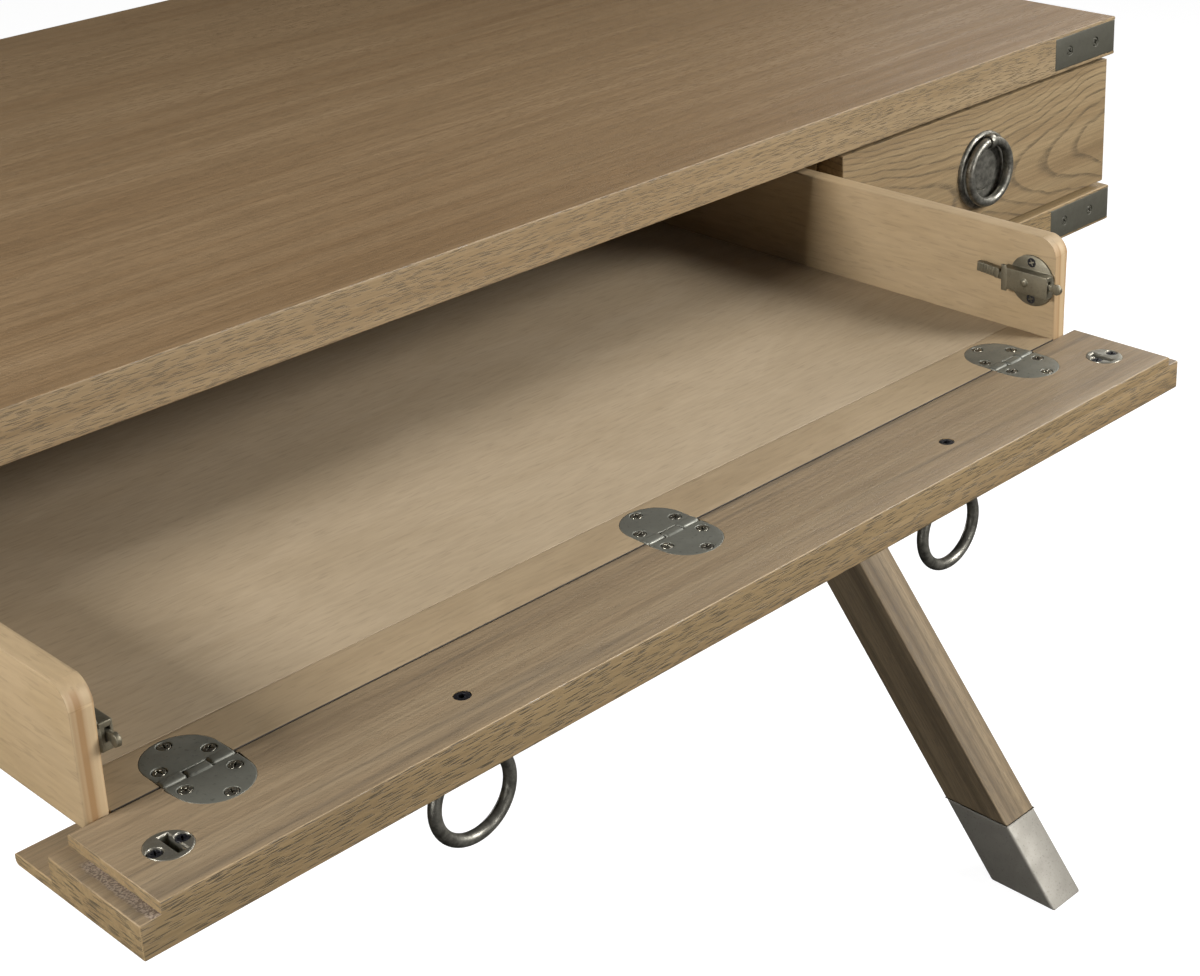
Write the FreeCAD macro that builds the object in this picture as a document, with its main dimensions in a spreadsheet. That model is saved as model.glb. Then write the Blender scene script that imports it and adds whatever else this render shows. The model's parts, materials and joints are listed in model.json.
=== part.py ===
import FreeCAD, Part
import os
import re

# A campaign writing desk of oak. A case of three drawers lies between two boards with metal
# corners and stands on two crossed pairs of legs. The centre drawer's front folds down on three
# flush hinges and is held shut by two spring catches; each drawer opens by recessed ring pulls.
# Millimetres, +Z up, +Y to the back. The origin is on the floor, under the middle of the box
# around the desk as it stands with the centre drawer out and its front down.

SIZES = (
    # boards and case
    ("desk_width", 1372), ("desk_depth", 650), ("desk_height", 788),
    ("top_thick", 29.5), ("base_thick", 28.5), ("front_height", 98.5), ("reveal", 3.5),
    ("front_setback", 3), ("end_setback", 3.5), ("front_thick", 23), ("front_gap", 2),
    ("panel_thick", 18), ("partition_thick", 12), ("back_thick", 12), ("stop_gap", 1),
    ("centre_width", 738.6), ("run_clear", 0.3), ("side_clear", 1.5), ("overrun", 5),
    # metal corners and their screws
    ("corner_leg", 76), ("corner_high", 24.5), ("corner_thick", 2.5),
    ("corner_screw_near", 25), ("corner_screw_far", 58),
    ("screw_head_radius", 3.6), ("screw_head_high", 2.2), ("screw_radius", 1.6), ("screw_length", 13),
    # crossed legs
    ("leg_thick", 40), ("leg_section", 53), ("leg_inset", 18), ("foot_share", 0.4672), ("top_share", 0.3248),
    ("ferrule_high", 64), ("ferrule_wall", 1.5), ("ferrule_floor", 3),
    ("cleat_thick", 32), ("cleat_high", 42), ("cleat_overhang", 24.5),
    ("leg_bolt_radius", 4), ("leg_bolt_head_radius", 9), ("leg_bolt_head_high", 3.5),
    ("cleat_bolt_drop", 24),
    # centre drawer
    ("guide_thick", 20.4), ("drawer_end_gap", 60), ("drawer_wall", 12), ("drawer_side_high", 70),
    ("drawer_floor", 5.5), ("nose_radius", 12), ("back_drop", 9), ("rail_depth", 34), ("rail_thick", 13),
    ("pull_out", 223), ("centre_rail_start", 38), ("centre_rail_gap", 23), ("guide_high", 24),
    # fold-down front
    ("drop_reach", 69.5), ("rabbet_width", 10.5), ("rabbet_depth", 5.75), ("lip_thick", 5.3),
    ("lip_ease", 2.5), ("hinge_gap", 0.3), ("hinge_inset", 43.4), ("hinge_width", 38), ("leaf_length", 31),
    ("leaf_thick", 2), ("knuckle_radius", 2.6), ("knuckle_clear", 0.4), ("knuckle_gap", 0.3),
    ("pin_radius", 1.3), ("pin_clear", 0.05),
    ("hinge_screw_side", 13), ("hinge_screw_near", 10), ("hinge_screw_far", 26),
    # spring catches and their strike plates
    ("catch_back", 17.2), ("catch_rise", 35), ("catch_plate_radius", 16.5), ("catch_plate_thick", 1.4),
    ("catch_screw_rise", 12), ("cover_length", 34), ("cover_high", 14), ("cover_depth", 6.6),
    ("cover_slot_high", 10), ("lever_thick", 2.4), ("lever_high", 5), ("lever_clear", 0.4),
    ("pivot_back", 1), ("rivet_radius", 1.5), ("rivet_clear", 0.06), ("handle_reach", 37),
    ("handle_length", 15), ("handle_thick", 3.6), ("hook_reach", 26), ("hook_radius", 3.4),
    ("hook_throat", 1.3),
    ("strike_radius", 11), ("strike_thick", 1.6), ("strike_rise", 4.2), ("strike_out", 2),
    ("strike_slot_wide", 5.4), ("strike_slot_long", 16), ("strike_screw_rise", 0.5),
    ("strike_screw_side", 7), ("mortise_deep", 13),
    # ring pulls
    ("pull_share", 0.241), ("dish_radius", 29.25), ("rim_high", 2.6), ("cup_radius", 27),
    ("cup_deep", 9.4), ("cup_wall", 1), ("boss_radius", 15.5), ("boss_sink", 1.6), ("ring_radius", 23),
    ("ring_wire", 3.4), ("ring_clear", 0.4), ("ring_rise", 6.5), ("bolt_rise", 21.2), ("post_width", 6),
    ("post_wall", 1.8), ("bolt_radius", 2.5), ("bolt_head_radius", 4.5), ("bolt_head_high", 2.4),
    ("bolt_bite", 3), ("rim_round", 1.2),
    # side drawers
    ("box_wall", 12), ("box_end_gap", 64), ("box_side_high", 84), ("box_floor", 6), ("box_floor_rise", 7),
    ("runner_high", 4),
)

doc = FreeCAD.newDocument("WritingDesk")
sheet = doc.addObject("Spreadsheet::Sheet", "Sizes")
for row, (alias, value) in enumerate(SIZES, start=1):
    sheet.set(f"A{row}", alias)
    sheet.set(f"B{row}", str(value))
    sheet.setAlias(f"B{row}", alias)
doc.recompute()

TURN = {
    "+x": FreeCAD.Rotation(FreeCAD.Vector(0, 1, 0), 90),
    "-x": FreeCAD.Rotation(FreeCAD.Vector(0, 1, 0), -90),
    "+y": FreeCAD.Rotation(FreeCAD.Vector(1, 0, 0), -90),
    "-y": FreeCAD.Rotation(FreeCAD.Vector(1, 0, 0), 90),
    "+z": FreeCAD.Rotation(),
    "-z": FreeCAD.Rotation(FreeCAD.Vector(1, 0, 0), 180),
}
aliases = {alias for alias, _ in SIZES}
pieces = []


def bind(item, prop, formula):
    """Bind a property to a formula in which the sheet's aliases stand as plain words."""
    full = re.sub(r"[a-z_]+", lambda word: f"Sizes.{word[0]}" if word[0] in aliases else word[0], formula)
    item.setExpression(prop, full)


# Levels and planes that several pieces share, each a formula of the sheet's aliases
TOP_UNDER = "(desk_height - top_thick)"
FRONTS_TOP = "(desk_height - top_thick - reveal)"
FRONTS_FOOT = f"({FRONTS_TOP} - front_height)"
BASE_TOP = f"({FRONTS_FOOT} - reveal)"
BASE_UNDER = f"({BASE_TOP} - base_thick)"
FACE_Y = "(front_setback - desk_depth / 2)"
STOP_Y = f"({FACE_Y} + front_thick)"
HINGE_Y = f"({STOP_Y} - pull_out)"
WRITE_Z = f"({FRONTS_TOP} - drop_reach)"
LIP = "(front_height - drop_reach)"
PULL_RISE = "(drop_reach - front_height / 2)"
END_X = "(desk_width / 2 - end_setback)"
SIDE_X = "(centre_width / 2 + front_gap)"
BACK_Y = "(desk_depth / 2 - front_setback)"
BACK_IN = f"({BACK_Y} - back_thick)"
FOOT_Y = "(desk_depth * foot_share)"
LEG_TOP_Y = "(desk_depth * top_share)"
LEAN = f"atan(({FOOT_Y} + {LEG_TOP_Y}) / {BASE_UNDER})"
LEG_HALF = f"(leg_section / cos({LEAN}) / 2)"
SHIFT_Y = f"((drop_reach - {HINGE_Y} - max(desk_depth / 2; {FOOT_Y} + {LEG_HALF})) / 2)"


def place(item, x, y, z, axis="+z"):
    """Put an object's own origin at x, y, z of the desk, with its Z turned to the given axis."""
    item.Placement = FreeCAD.Placement(FreeCAD.Vector(), TURN[axis])
    bind(item, "Placement.Base.x", x)
    bind(item, "Placement.Base.y", f"{y} + {SHIFT_Y}")
    bind(item, "Placement.Base.z", z)
    return item


def block(name, x, y, z):
    """A box from its first to its last place along each axis."""
    item = doc.addObject("Part::Box", name)
    bind(item, "Length", f"{x[1]} - ({x[0]})")
    bind(item, "Width", f"{y[1]} - ({y[0]})")
    bind(item, "Height", f"{z[1]} - ({z[0]})")
    return place(item, x[0], y[0], z[0])


def rod(name, radius, length, x, y, z, axis):
    """A cylinder that starts at x, y, z and runs along the given axis."""
    item = doc.addObject("Part::Cylinder", name)
    bind(item, "Radius", radius)
    bind(item, "Height", length)
    return place(item, x, y, z, axis)


def cone(name, radius, end_radius, length, x, y, z, axis):
    item = doc.addObject("Part::Cone", name)
    bind(item, "Radius1", radius)
    bind(item, "Radius2", end_radius)
    bind(item, "Height", length)
    return place(item, x, y, z, axis)


def fuse(name, *items):
    item = doc.addObject("Part::MultiFuse", name)
    item.Shapes = list(items)
    item.Refine = True
    return item


def group(name, items):
    item = doc.addObject("Part::Compound", name)
    item.Links = list(items)
    return item


def cut(name, base, *tools):
    item = doc.addObject("Part::Cut", name)
    item.Base = base
    item.Tool = tools[0] if len(tools) == 1 else group(f"{name}_cuts", tools)
    return item


def common(name, base, tool):
    item = doc.addObject("Part::Common", name)
    item.Base = base
    item.Tool = tool
    return item


def piece(name, item):
    """Name a finished piece: its label names its file."""
    item.Label = name
    pieces.append(item)
    return item


def screw(name, x, y, z, axis):
    """A countersunk wood screw whose flat head lies at x, y, z and which points along the axis."""
    head = cone(f"{name}_head", "screw_head_radius", "screw_radius", "screw_head_high", x, y, z, axis)
    shank = rod(f"{name}_shank", "screw_radius", "screw_length", x, y, z, axis)
    return fuse(name, head, shank)


def minus(formula):
    return f"(0 - ({formula}))"


def both(reach):
    """A range that runs as far to one side of the middle as to the other."""
    return (minus(reach), reach)


def span(side, near, far):
    """A range across the desk, from near to far of the middle, on the left (-1) or the right (1)."""
    return (minus(far), minus(near)) if side < 0 else (near, far)


def across(side, place_x):
    return minus(place_x) if side < 0 else place_x


SIDES = (("left", -1), ("right", 1))
ENDS = (("front", -1), ("back", 1))

# METAL CORNERS: an angle let in flush at each corner of the top and of the lower board
corner_screws = []


def corner(name, side, end, board_mid):
    """One angle at the corner of a board: side is left or right, end is front (-1) or back (1)."""
    high = "(corner_high / 2)"
    level = (f"{board_mid} - {high}", f"{board_mid} + {high}")
    edge_x = "(desk_width / 2)"
    edge_y = "(desk_depth / 2)"
    inner_x = "(desk_width / 2 - corner_leg)"
    inner_y = "(desk_depth / 2 - corner_leg)"
    skin_x = "(desk_width / 2 - corner_thick)"
    skin_y = "(desk_depth / 2 - corner_thick)"
    face = block(f"{name}_face", span(side, inner_x, edge_x), span(end, skin_y, edge_y), level)
    flank = block(f"{name}_flank", span(side, skin_x, edge_x), span(end, inner_y, edge_y), level)
    angle = fuse(f"{name}_angle", face, flank)
    into_y = "+y" if end < 0 else "-y"
    into_x = "+x" if side < 0 else "-x"
    screws = []
    for reach in ("corner_screw_near", "corner_screw_far"):
        along_x = across(side, f"(desk_width / 2 - {reach})")
        along_y = across(end, f"(desk_depth / 2 - {reach})")
        screws.append(screw(f"{name}_{reach}_face", along_x, across(end, edge_y), board_mid, into_y))
        screws.append(screw(f"{name}_{reach}_flank", across(side, edge_x), along_y, board_mid, into_x))
    corner_screws.extend(screws)
    return cut(f"{name}_plate", angle, *screws), screws


def corners(name, board_mid):
    plates = []
    screws = []
    for side_name, side in SIDES:
        for end_name, end in ENDS:
            plate, own = corner(f"{name}_{end_name}_{side_name}", side, end, board_mid)
            plates.append(plate)
            screws.extend(own)
    return piece(name, group(name, plates)), screws


TOP_MID = "(desk_height - top_thick / 2)"
BASE_MID = f"({BASE_TOP} - base_thick / 2)"
top_corners, top_screws = corners("top_corner_brackets", TOP_MID)
base_corners, base_screws = corners("lower_corner_brackets", BASE_MID)
piece("bracket_screws", group("bracket_screws", corner_screws))

# CROSSED LEGS: two half-lapped bars at each end, each in a metal shoe at the floor
LEG_OUT = "(desk_width / 2 - leg_inset)"
LEG_IN = f"({LEG_OUT} - leg_thick)"
LEG_MID = f"({LEG_OUT} - leg_thick / 2)"
CROSS_Z = f"({FOOT_Y} / tan({LEAN}))"


def bar(name, side, end, skin):
    """A leaning bar through the foot at one end of the desk, thinned all round by skin."""
    lean = -end
    wide = f"(leg_section - 2 * {skin})"
    below = "(leg_section + overrun)"
    item = doc.addObject("Part::Box", name)
    bind(item, "Length", f"leg_thick - 2 * {skin}")
    bind(item, "Width", wide)
    bind(item, "Height", f"{BASE_UNDER} / cos({LEAN}) + 2 * {below}")
    start = f"({FOOT_Y} * {end} - {wide} / 2 * cos({LEAN}) - {lean} * {below} * sin({LEAN}))"
    drop = f"({lean} * {wide} / 2 * sin({LEAN}) - {below} * cos({LEAN}))"
    place(item, f"{across(side, LEG_MID)} - (leg_thick / 2 - {skin})", start, drop)
    item.Placement.Rotation = FreeCAD.Rotation(FreeCAD.Vector(1, 0, 0), 0)
    bind(item, "Placement.Rotation.Axis.x", "1")
    bind(item, "Placement.Rotation.Angle", f"{-lean} * {LEAN}")
    return item


def level_slab(name, low, high):
    """Everything of the desk between two heights."""
    reach = "(desk_width + desk_depth)"
    return block(name, both(reach), both(reach), (low, high))


def leg(side_name, side, end_name, end, other_bar, bolts):
    """One leg and its shoe; the lap takes half of its thickness where the other leg crosses."""
    name = f"leg_{end_name}_foot_{side_name}"
    whole = bar(f"{name}_bar", side, end, "0")
    core = bar(f"{name}_core", side, end, "ferrule_wall")
    upper = common(f"{name}_upper", whole, level_slab(f"{name}_upper_slab", "ferrule_high", BASE_UNDER))
    shod = level_slab(f"{name}_lower_slab", "ferrule_floor", "ferrule_high")
    lower = common(f"{name}_lower", core, shod)
    near, far = (LEG_IN, LEG_MID) if end < 0 else (LEG_MID, LEG_OUT)
    reach = "(2 * desk_depth)"
    half = block(f"{name}_half", span(side, near, far), both(reach), ("0", BASE_UNDER))
    lap = common(f"{name}_lap", other_bar, half)
    wood = cut(f"{name}_wood", fuse(f"{name}_blank", upper, lower), lap)
    piece(name, cut(name, wood, *bolts))
    shoe = common(f"{name}_shoe", whole, level_slab(f"{name}_shoe_slab", "0", "ferrule_high"))
    piece(f"ferrule_{end_name}_{side_name}", cut(f"ferrule_{end_name}_{side_name}", shoe, lower))


def leg_bolt(name, side, y, z, inner_x):
    """A domed bolt from the outer face of the legs to a place further in."""
    inward = "+x" if side < 0 else "-x"
    head = cone(f"{name}_head", "leg_bolt_head_radius", "leg_bolt_radius", "leg_bolt_head_high",
                across(side, LEG_OUT), y, z, "-x" if side < 0 else "+x")
    length = f"{LEG_OUT} - ({inner_x})"
    shank = rod(f"{name}_shank", "leg_bolt_radius", length, across(side, LEG_OUT), y, z, inward)
    return fuse(name, head, shank)


leg_bolts = []
for side_name, side in SIDES:
    cleat_in = f"({LEG_IN} - cleat_thick)"
    bolt_z = f"({BASE_UNDER} - cleat_bolt_drop)"
    bolt_y = f"({LEG_TOP_Y} - cleat_bolt_drop * tan({LEAN}))"
    cross_bolt = leg_bolt(f"cross_bolt_{side_name}", side, "0", CROSS_Z, LEG_IN)
    cleat_bolts = [leg_bolt(f"cleat_bolt_{name}_{side_name}", side, across(end, bolt_y), bolt_z, cleat_in)
                   for name, end in ENDS]
    leg_bolts += [cross_bolt] + cleat_bolts
    half_length = f"({LEG_TOP_Y} + {LEG_HALF} + cleat_overhang)"
    cleat = block(f"cleat_blank_{side_name}", span(side, cleat_in, LEG_IN), both(half_length),
                  (f"{BASE_UNDER} - cleat_high", BASE_UNDER))
    piece(f"leg_cleat_{side_name}", cut(f"leg_cleat_{side_name}", cleat, *cleat_bolts))
    for end_name, end in ENDS:
        other = bar(f"lap_bar_{end_name}_{side_name}", side, -end, "0")
        leg(side_name, side, end_name, end, other, [cross_bolt] + cleat_bolts)
piece("leg_bolts", group("leg_bolts", leg_bolts))

# CASE: top and lower board, end panels, two partitions and a back
HALF_W = "(desk_width / 2)"
HALF_D = "(desk_depth / 2)"
top_blank = block("top_blank", both(HALF_W), both(HALF_D), (TOP_UNDER, "desk_height"))
piece("desk_top", cut("desk_top", top_blank, fuse("top_inlay", top_corners, *top_screws)))
base_blank = block("base_blank", both(HALF_W), both(HALF_D), (BASE_UNDER, BASE_TOP))
piece("lower_board", cut("lower_board", base_blank, fuse("base_inlay", base_corners, *base_screws)))
CASE_FRONT = f"({STOP_Y} + stop_gap)"
CASE_LEVELS = (BASE_TOP, TOP_UNDER)
END_IN = f"({END_X} - panel_thick)"
PARTITION_OUT = f"({SIDE_X} + partition_thick)"
for side_name, side in SIDES:
    name = f"end_panel_{side_name}"
    piece(name, block(name, span(side, END_IN, END_X), (CASE_FRONT, BACK_Y), CASE_LEVELS))
    name = f"partition_{side_name}"
    piece(name, block(name, span(side, SIDE_X, PARTITION_OUT), (CASE_FRONT, BACK_IN), CASE_LEVELS))
piece("back_panel", block("back_panel", both(END_IN), (BACK_IN, BACK_Y), CASE_LEVELS))

# CENTRE DRAWER RAILS: an L-shaped rail on each partition bears the drawer side and guides it
DRAWER_OUT = f"({SIDE_X} - guide_thick - side_clear)"
DRAWER_IN = f"({DRAWER_OUT} - drawer_wall)"
DRAWER_FOOT = f"({WRITE_Z} - drawer_floor)"
for side_name, side in SIDES:
    name = f"centre_rail_{side_name}"
    rail_y = (f"({STOP_Y} + centre_rail_start)", f"({BACK_IN} - centre_rail_gap)")
    bearer_top = f"({DRAWER_FOOT} - run_clear)"
    bearer = block(f"{name}_bearer", span(side, DRAWER_IN, SIDE_X), rail_y, (BASE_TOP, bearer_top))
    guide = block(f"{name}_guide", span(side, f"({DRAWER_OUT} + side_clear)", SIDE_X), rail_y,
                  (BASE_TOP, f"({bearer_top} + guide_high)"))
    piece(name, fuse(name, bearer, guide))

# SPRING CATCHES: a round plate on each drawer side, a cover riveted to it and a lever with a hook
CATCH_Y = f"({HINGE_Y} + catch_back)"
CATCH_Z = f"({WRITE_Z} + catch_rise)"
PIVOT_Y = f"({CATCH_Y} + pivot_back)"
PLATE_X = f"({DRAWER_IN} - catch_plate_thick)"
COVER_X = f"({PLATE_X} - cover_depth)"
LEVER_X = f"({PLATE_X} - cover_depth / 2)"
catch_plates = []
catch_covers = []
drawer_screws = []
for side_name, side in SIDES:
    outward = "+x" if side > 0 else "-x"
    name = f"catch_{side_name}"
    plate_x = across(side, PLATE_X)
    screws = []
    for level_name, way in (("low", -1), ("high", 1)):
        screw_z = f"{CATCH_Z} + {way} * catch_screw_rise"
        screws.append(screw(f"{name}_screw_{level_name}", plate_x, CATCH_Y, screw_z, outward))
    drawer_screws += screws
    disc = rod(f"{name}_disc", "catch_plate_radius", "catch_plate_thick", plate_x, CATCH_Y, CATCH_Z, outward)
    catch_plates.append(cut(f"{name}_plate", disc, *screws))
    cover_y = (f"{PIVOT_Y} - cover_length / 2", f"{PIVOT_Y} + cover_length / 2")
    body = block(f"{name}_body", span(side, COVER_X, PLATE_X), cover_y,
                 (f"{CATCH_Z} - cover_high / 2", f"{CATCH_Z} + cover_high / 2"))
    lever_room = f"(lever_thick / 2 + lever_clear)"
    slot = block(f"{name}_slot", span(side, f"{LEVER_X} - {lever_room}", f"{LEVER_X} + {lever_room}"),
                 (f"{cover_y[0]} - overrun", f"{cover_y[1]} + overrun"),
                 (f"{CATCH_Z} - cover_slot_high / 2", f"{CATCH_Z} + cover_slot_high / 2"))
    cover_x = across(side, COVER_X)
    rivet = rod(f"{name}_rivet", "rivet_radius", "cover_depth", cover_x, PIVOT_Y, CATCH_Z, outward)
    shell = cut(f"{name}_shell", body, *screws)
    catch_covers.append(fuse(f"{name}_cover", cut(f"{name}_housing", shell, slot), rivet))
    half_thick = "lever_thick / 2"
    lever_x = span(side, f"({LEVER_X} - {half_thick})", f"({LEVER_X} + {half_thick})")
    hook_y = f"({PIVOT_Y} - hook_reach + hook_radius)"
    arm = block(f"{name}_arm", lever_x, (hook_y, f"{PIVOT_Y} + handle_reach"),
                (f"{CATCH_Z} - lever_high / 2", f"{CATCH_Z} + lever_high / 2"))
    half_grip = "handle_thick / 2"
    grip_from = f"({PIVOT_Y} + handle_reach - handle_length)"
    grip = block(f"{name}_grip", span(side, f"({LEVER_X} - {half_grip})", f"({LEVER_X} + {half_grip})"),
                 (grip_from, f"{PIVOT_Y} + handle_reach"),
                 (f"{CATCH_Z} - lever_high / 2", f"{CATCH_Z} + lever_high / 2"))
    near_x = across(side, f"({LEVER_X} - {half_thick})")
    hook = rod(f"{name}_hook", "hook_radius", "lever_thick", near_x, hook_y, CATCH_Z, outward)
    throat_x = across(side, f"({LEVER_X} - {half_thick} - overrun)")
    throat = rod(f"{name}_throat", "hook_throat", "lever_thick + 2 * overrun", throat_x,
                 f"{hook_y} + hook_radius", f"{CATCH_Z} - lever_high / 2", outward)
    bore = rod(f"{name}_bore", "rivet_radius + rivet_clear", "lever_thick + 2 * overrun", throat_x,
               PIVOT_Y, CATCH_Z, outward)
    lever = fuse(f"{name}_bar", arm, grip, hook)
    piece(f"catch_lever_{side_name}", cut(f"catch_lever_{side_name}", lever, throat, bore))
piece("catch_plates", group("catch_plates", catch_plates))
piece("catch_covers", group("catch_covers", catch_covers))

# FLUSH HINGES: round-ended leaves let into the writing surface, with a pin through their knuckles
LEAF_ROUND = "(hinge_width / 2)"
HINGES = (("left", -1), ("middle", 0), ("right", 1))


def hinge_leaf(name, mid_x, toward, knuckles, screws):
    """One leaf: toward is 1 for the drawer's leaf and -1 for the fold-down front's."""
    surface = (f"{WRITE_Z} - leaf_thick", WRITE_Z)
    clear = "(knuckle_radius + knuckle_clear)"
    straight = "(leaf_length - hinge_width / 2)"
    begin = f"{HINGE_Y} + {toward} * {clear}"
    centre = f"{HINGE_Y} + {toward} * {straight}"
    flat_y = (begin, centre) if toward > 0 else (centre, begin)
    flat = block(f"{name}_flat", (f"{mid_x} - {LEAF_ROUND}", f"{mid_x} + {LEAF_ROUND}"), flat_y, surface)
    tip = f"{HINGE_Y} + {toward} * leaf_length"
    disc = rod(f"{name}_disc", LEAF_ROUND, "leaf_thick", mid_x, centre, surface[0], "+z")
    half = block(f"{name}_half", (f"{mid_x} - {LEAF_ROUND}", f"{mid_x} + {LEAF_ROUND}"),
                 (centre, tip) if toward > 0 else (tip, centre), surface)
    parts = [flat, common(f"{name}_end", disc, half)]
    third = "(hinge_width / 3)"
    for index, first in enumerate(knuckles):
        begin_x = f"{mid_x} - {LEAF_ROUND} + {third} * {first} + knuckle_gap / 2"
        length = f"{third} - knuckle_gap"
        knuckle = f"{name}_knuckle_{index}"
        parts.append(rod(knuckle, "knuckle_radius", length, begin_x, HINGE_Y, WRITE_Z, "+x"))
        web_y = (HINGE_Y, begin) if toward > 0 else (begin, HINGE_Y)
        parts.append(block(f"{name}_web_{index}", (begin_x, f"{begin_x} + {length}"), web_y, surface))
    room = rod(f"{name}_room", "pin_radius + pin_clear", "hinge_width + 2 * overrun",
               f"{mid_x} - {LEAF_ROUND} - overrun", HINGE_Y, WRITE_Z, "+x")
    return cut(name, fuse(f"{name}_blank", *parts), room, *screws)


def leaf_screws(name, mid_x, toward):
    spots = ((minus("hinge_screw_side"), "hinge_screw_near"),
             ("hinge_screw_side", "hinge_screw_near"), ("0", "hinge_screw_far"))
    screws = []
    for index, (aside, back) in enumerate(spots):
        spot_y = f"{HINGE_Y} + {toward} * {back}"
        screws.append(screw(f"{name}_screw_{index}", f"{mid_x} + {aside}", spot_y, WRITE_Z, "-z"))
    return screws


rail_leaves = []
front_leaves = []
hinge_pins = []
hinge_rooms = []
front_screws = []
for hinge_name, way in HINGES:
    mid_x = f"(({DRAWER_IN} - hinge_inset) * {way})"
    on_rail = leaf_screws(f"rail_leaf_{hinge_name}", mid_x, 1)
    on_front = leaf_screws(f"front_leaf_{hinge_name}", mid_x, -1)
    drawer_screws += on_rail
    front_screws += on_front
    rail_leaves.append(hinge_leaf(f"rail_leaf_{hinge_name}", mid_x, 1, (0, 2), on_rail))
    front_leaves.append(hinge_leaf(f"front_leaf_{hinge_name}", mid_x, -1, (1,), on_front))
    hinge_pins.append(rod(f"hinge_pin_{hinge_name}", "pin_radius", "hinge_width - knuckle_gap",
                          f"{mid_x} - {LEAF_ROUND} + knuckle_gap / 2", HINGE_Y, WRITE_Z, "+x"))
    hinge_rooms.append(rod(f"hinge_room_{hinge_name}", "knuckle_radius + knuckle_clear",
                           "hinge_width + knuckle_gap", f"{mid_x} - {LEAF_ROUND} - knuckle_gap / 2",
                           HINGE_Y, WRITE_Z, "+x"))
piece("rail_hinge_leaves", group("rail_hinge_leaves", rail_leaves))
piece("front_hinge_leaves", group("front_hinge_leaves", front_leaves))
piece("hinge_pins", group("hinge_pins", hinge_pins))

# CENTRE DRAWER: two sides with a rounded nose, a back, a thin bottom and a solid rail at the front
BOX_FRONT = f"({HINGE_Y} + hinge_gap)"
BOX_BACK = f"({BACK_IN} - drawer_end_gap - pull_out)"
RAIL_BACK = f"({HINGE_Y} + rail_depth)"
SIDE_TOP = f"({DRAWER_FOOT} + drawer_side_high)"
for side_name, side in SIDES:
    name = f"drawer_side_{side_name}"
    wall_x = span(side, DRAWER_IN, DRAWER_OUT)
    blank = block(f"{name}_blank", wall_x, (BOX_FRONT, BOX_BACK), (DRAWER_FOOT, SIDE_TOP))
    nose = block(f"{name}_nose", wall_x, (BOX_FRONT, f"{BOX_FRONT} + nose_radius"),
                 (f"{SIDE_TOP} - nose_radius", SIDE_TOP))
    turn = rod(f"{name}_turn", "nose_radius", "drawer_wall", across(side, DRAWER_IN),
               f"{BOX_FRONT} + nose_radius", f"{SIDE_TOP} - nose_radius", "+x" if side > 0 else "-x")
    own_screws = [item for item in drawer_screws if item.Name.startswith(f"catch_{side_name}")]
    piece(name, cut(name, blank, cut(f"{name}_waste", nose, turn), *own_screws))
ACROSS_BOX = both(DRAWER_IN)
rail_blank = block("rail_blank", ACROSS_BOX, (BOX_FRONT, RAIL_BACK), (f"{WRITE_Z} - rail_thick", WRITE_Z))
rail_screws = [item for item in drawer_screws if item.Name.startswith("rail_leaf")]
rail_inlay = fuse("rail_inlay", *rail_leaves, *rail_screws, *hinge_rooms)
piece("drawer_rail", cut("drawer_rail", rail_blank, rail_inlay))
piece("drawer_bottom", block("drawer_bottom", ACROSS_BOX, (RAIL_BACK, BOX_BACK), (DRAWER_FOOT, WRITE_Z)))
piece("drawer_back", block("drawer_back", ACROSS_BOX, (f"{BOX_BACK} - drawer_wall", BOX_BACK),
                           (WRITE_Z, f"{SIDE_TOP} - back_drop")))
piece("drawer_screws", group("drawer_screws", drawer_screws))

# STRIKE PLATES: slotted discs let into the fold-down front, where the hooks enter when it is shut
HOOK_Y = f"({HINGE_Y} - catch_rise)"
STRIKE_Y = f"({HOOK_Y} - strike_rise)"
strikes = []
mortises = []
for side_name, side in SIDES:
    name = f"strike_{side_name}"
    mid_x = across(side, f"({LEVER_X} + strike_out)")
    disc = rod(f"{name}_disc", "strike_radius", "strike_thick", mid_x, STRIKE_Y, WRITE_Z, "-z")
    hook_x = across(side, LEVER_X)
    slot_x = (f"{hook_x} - strike_slot_wide / 2", f"{hook_x} + strike_slot_wide / 2")
    slot_y = (f"{STRIKE_Y} - strike_slot_long / 2", f"{STRIKE_Y} + strike_slot_long / 2")
    slot_z = (f"{WRITE_Z} - mortise_deep", f"{WRITE_Z} + overrun")
    mortise = block(f"{name}_mortise", slot_x, slot_y, slot_z)
    mortises.append(mortise)
    screws = [screw(f"{name}_screw_{end_name}", f"{mid_x} + {end} * strike_screw_side",
                    f"{STRIKE_Y} - {end} * strike_screw_rise", WRITE_Z, "-z")
              for end_name, end in (("near", -1), ("far", 1))]
    front_screws += screws
    strikes.append(cut(f"{name}_plate", disc, mortise, *screws))
piece("strike_plates", group("strike_plates", strikes))
piece("front_screws", group("front_screws", front_screws))

# RING PULLS: a cast dish let into a drawer front, with a boss, a post and a ring through the post.
# The parts are made on a face that looks down (the open front) or forward (a side drawer).


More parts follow.
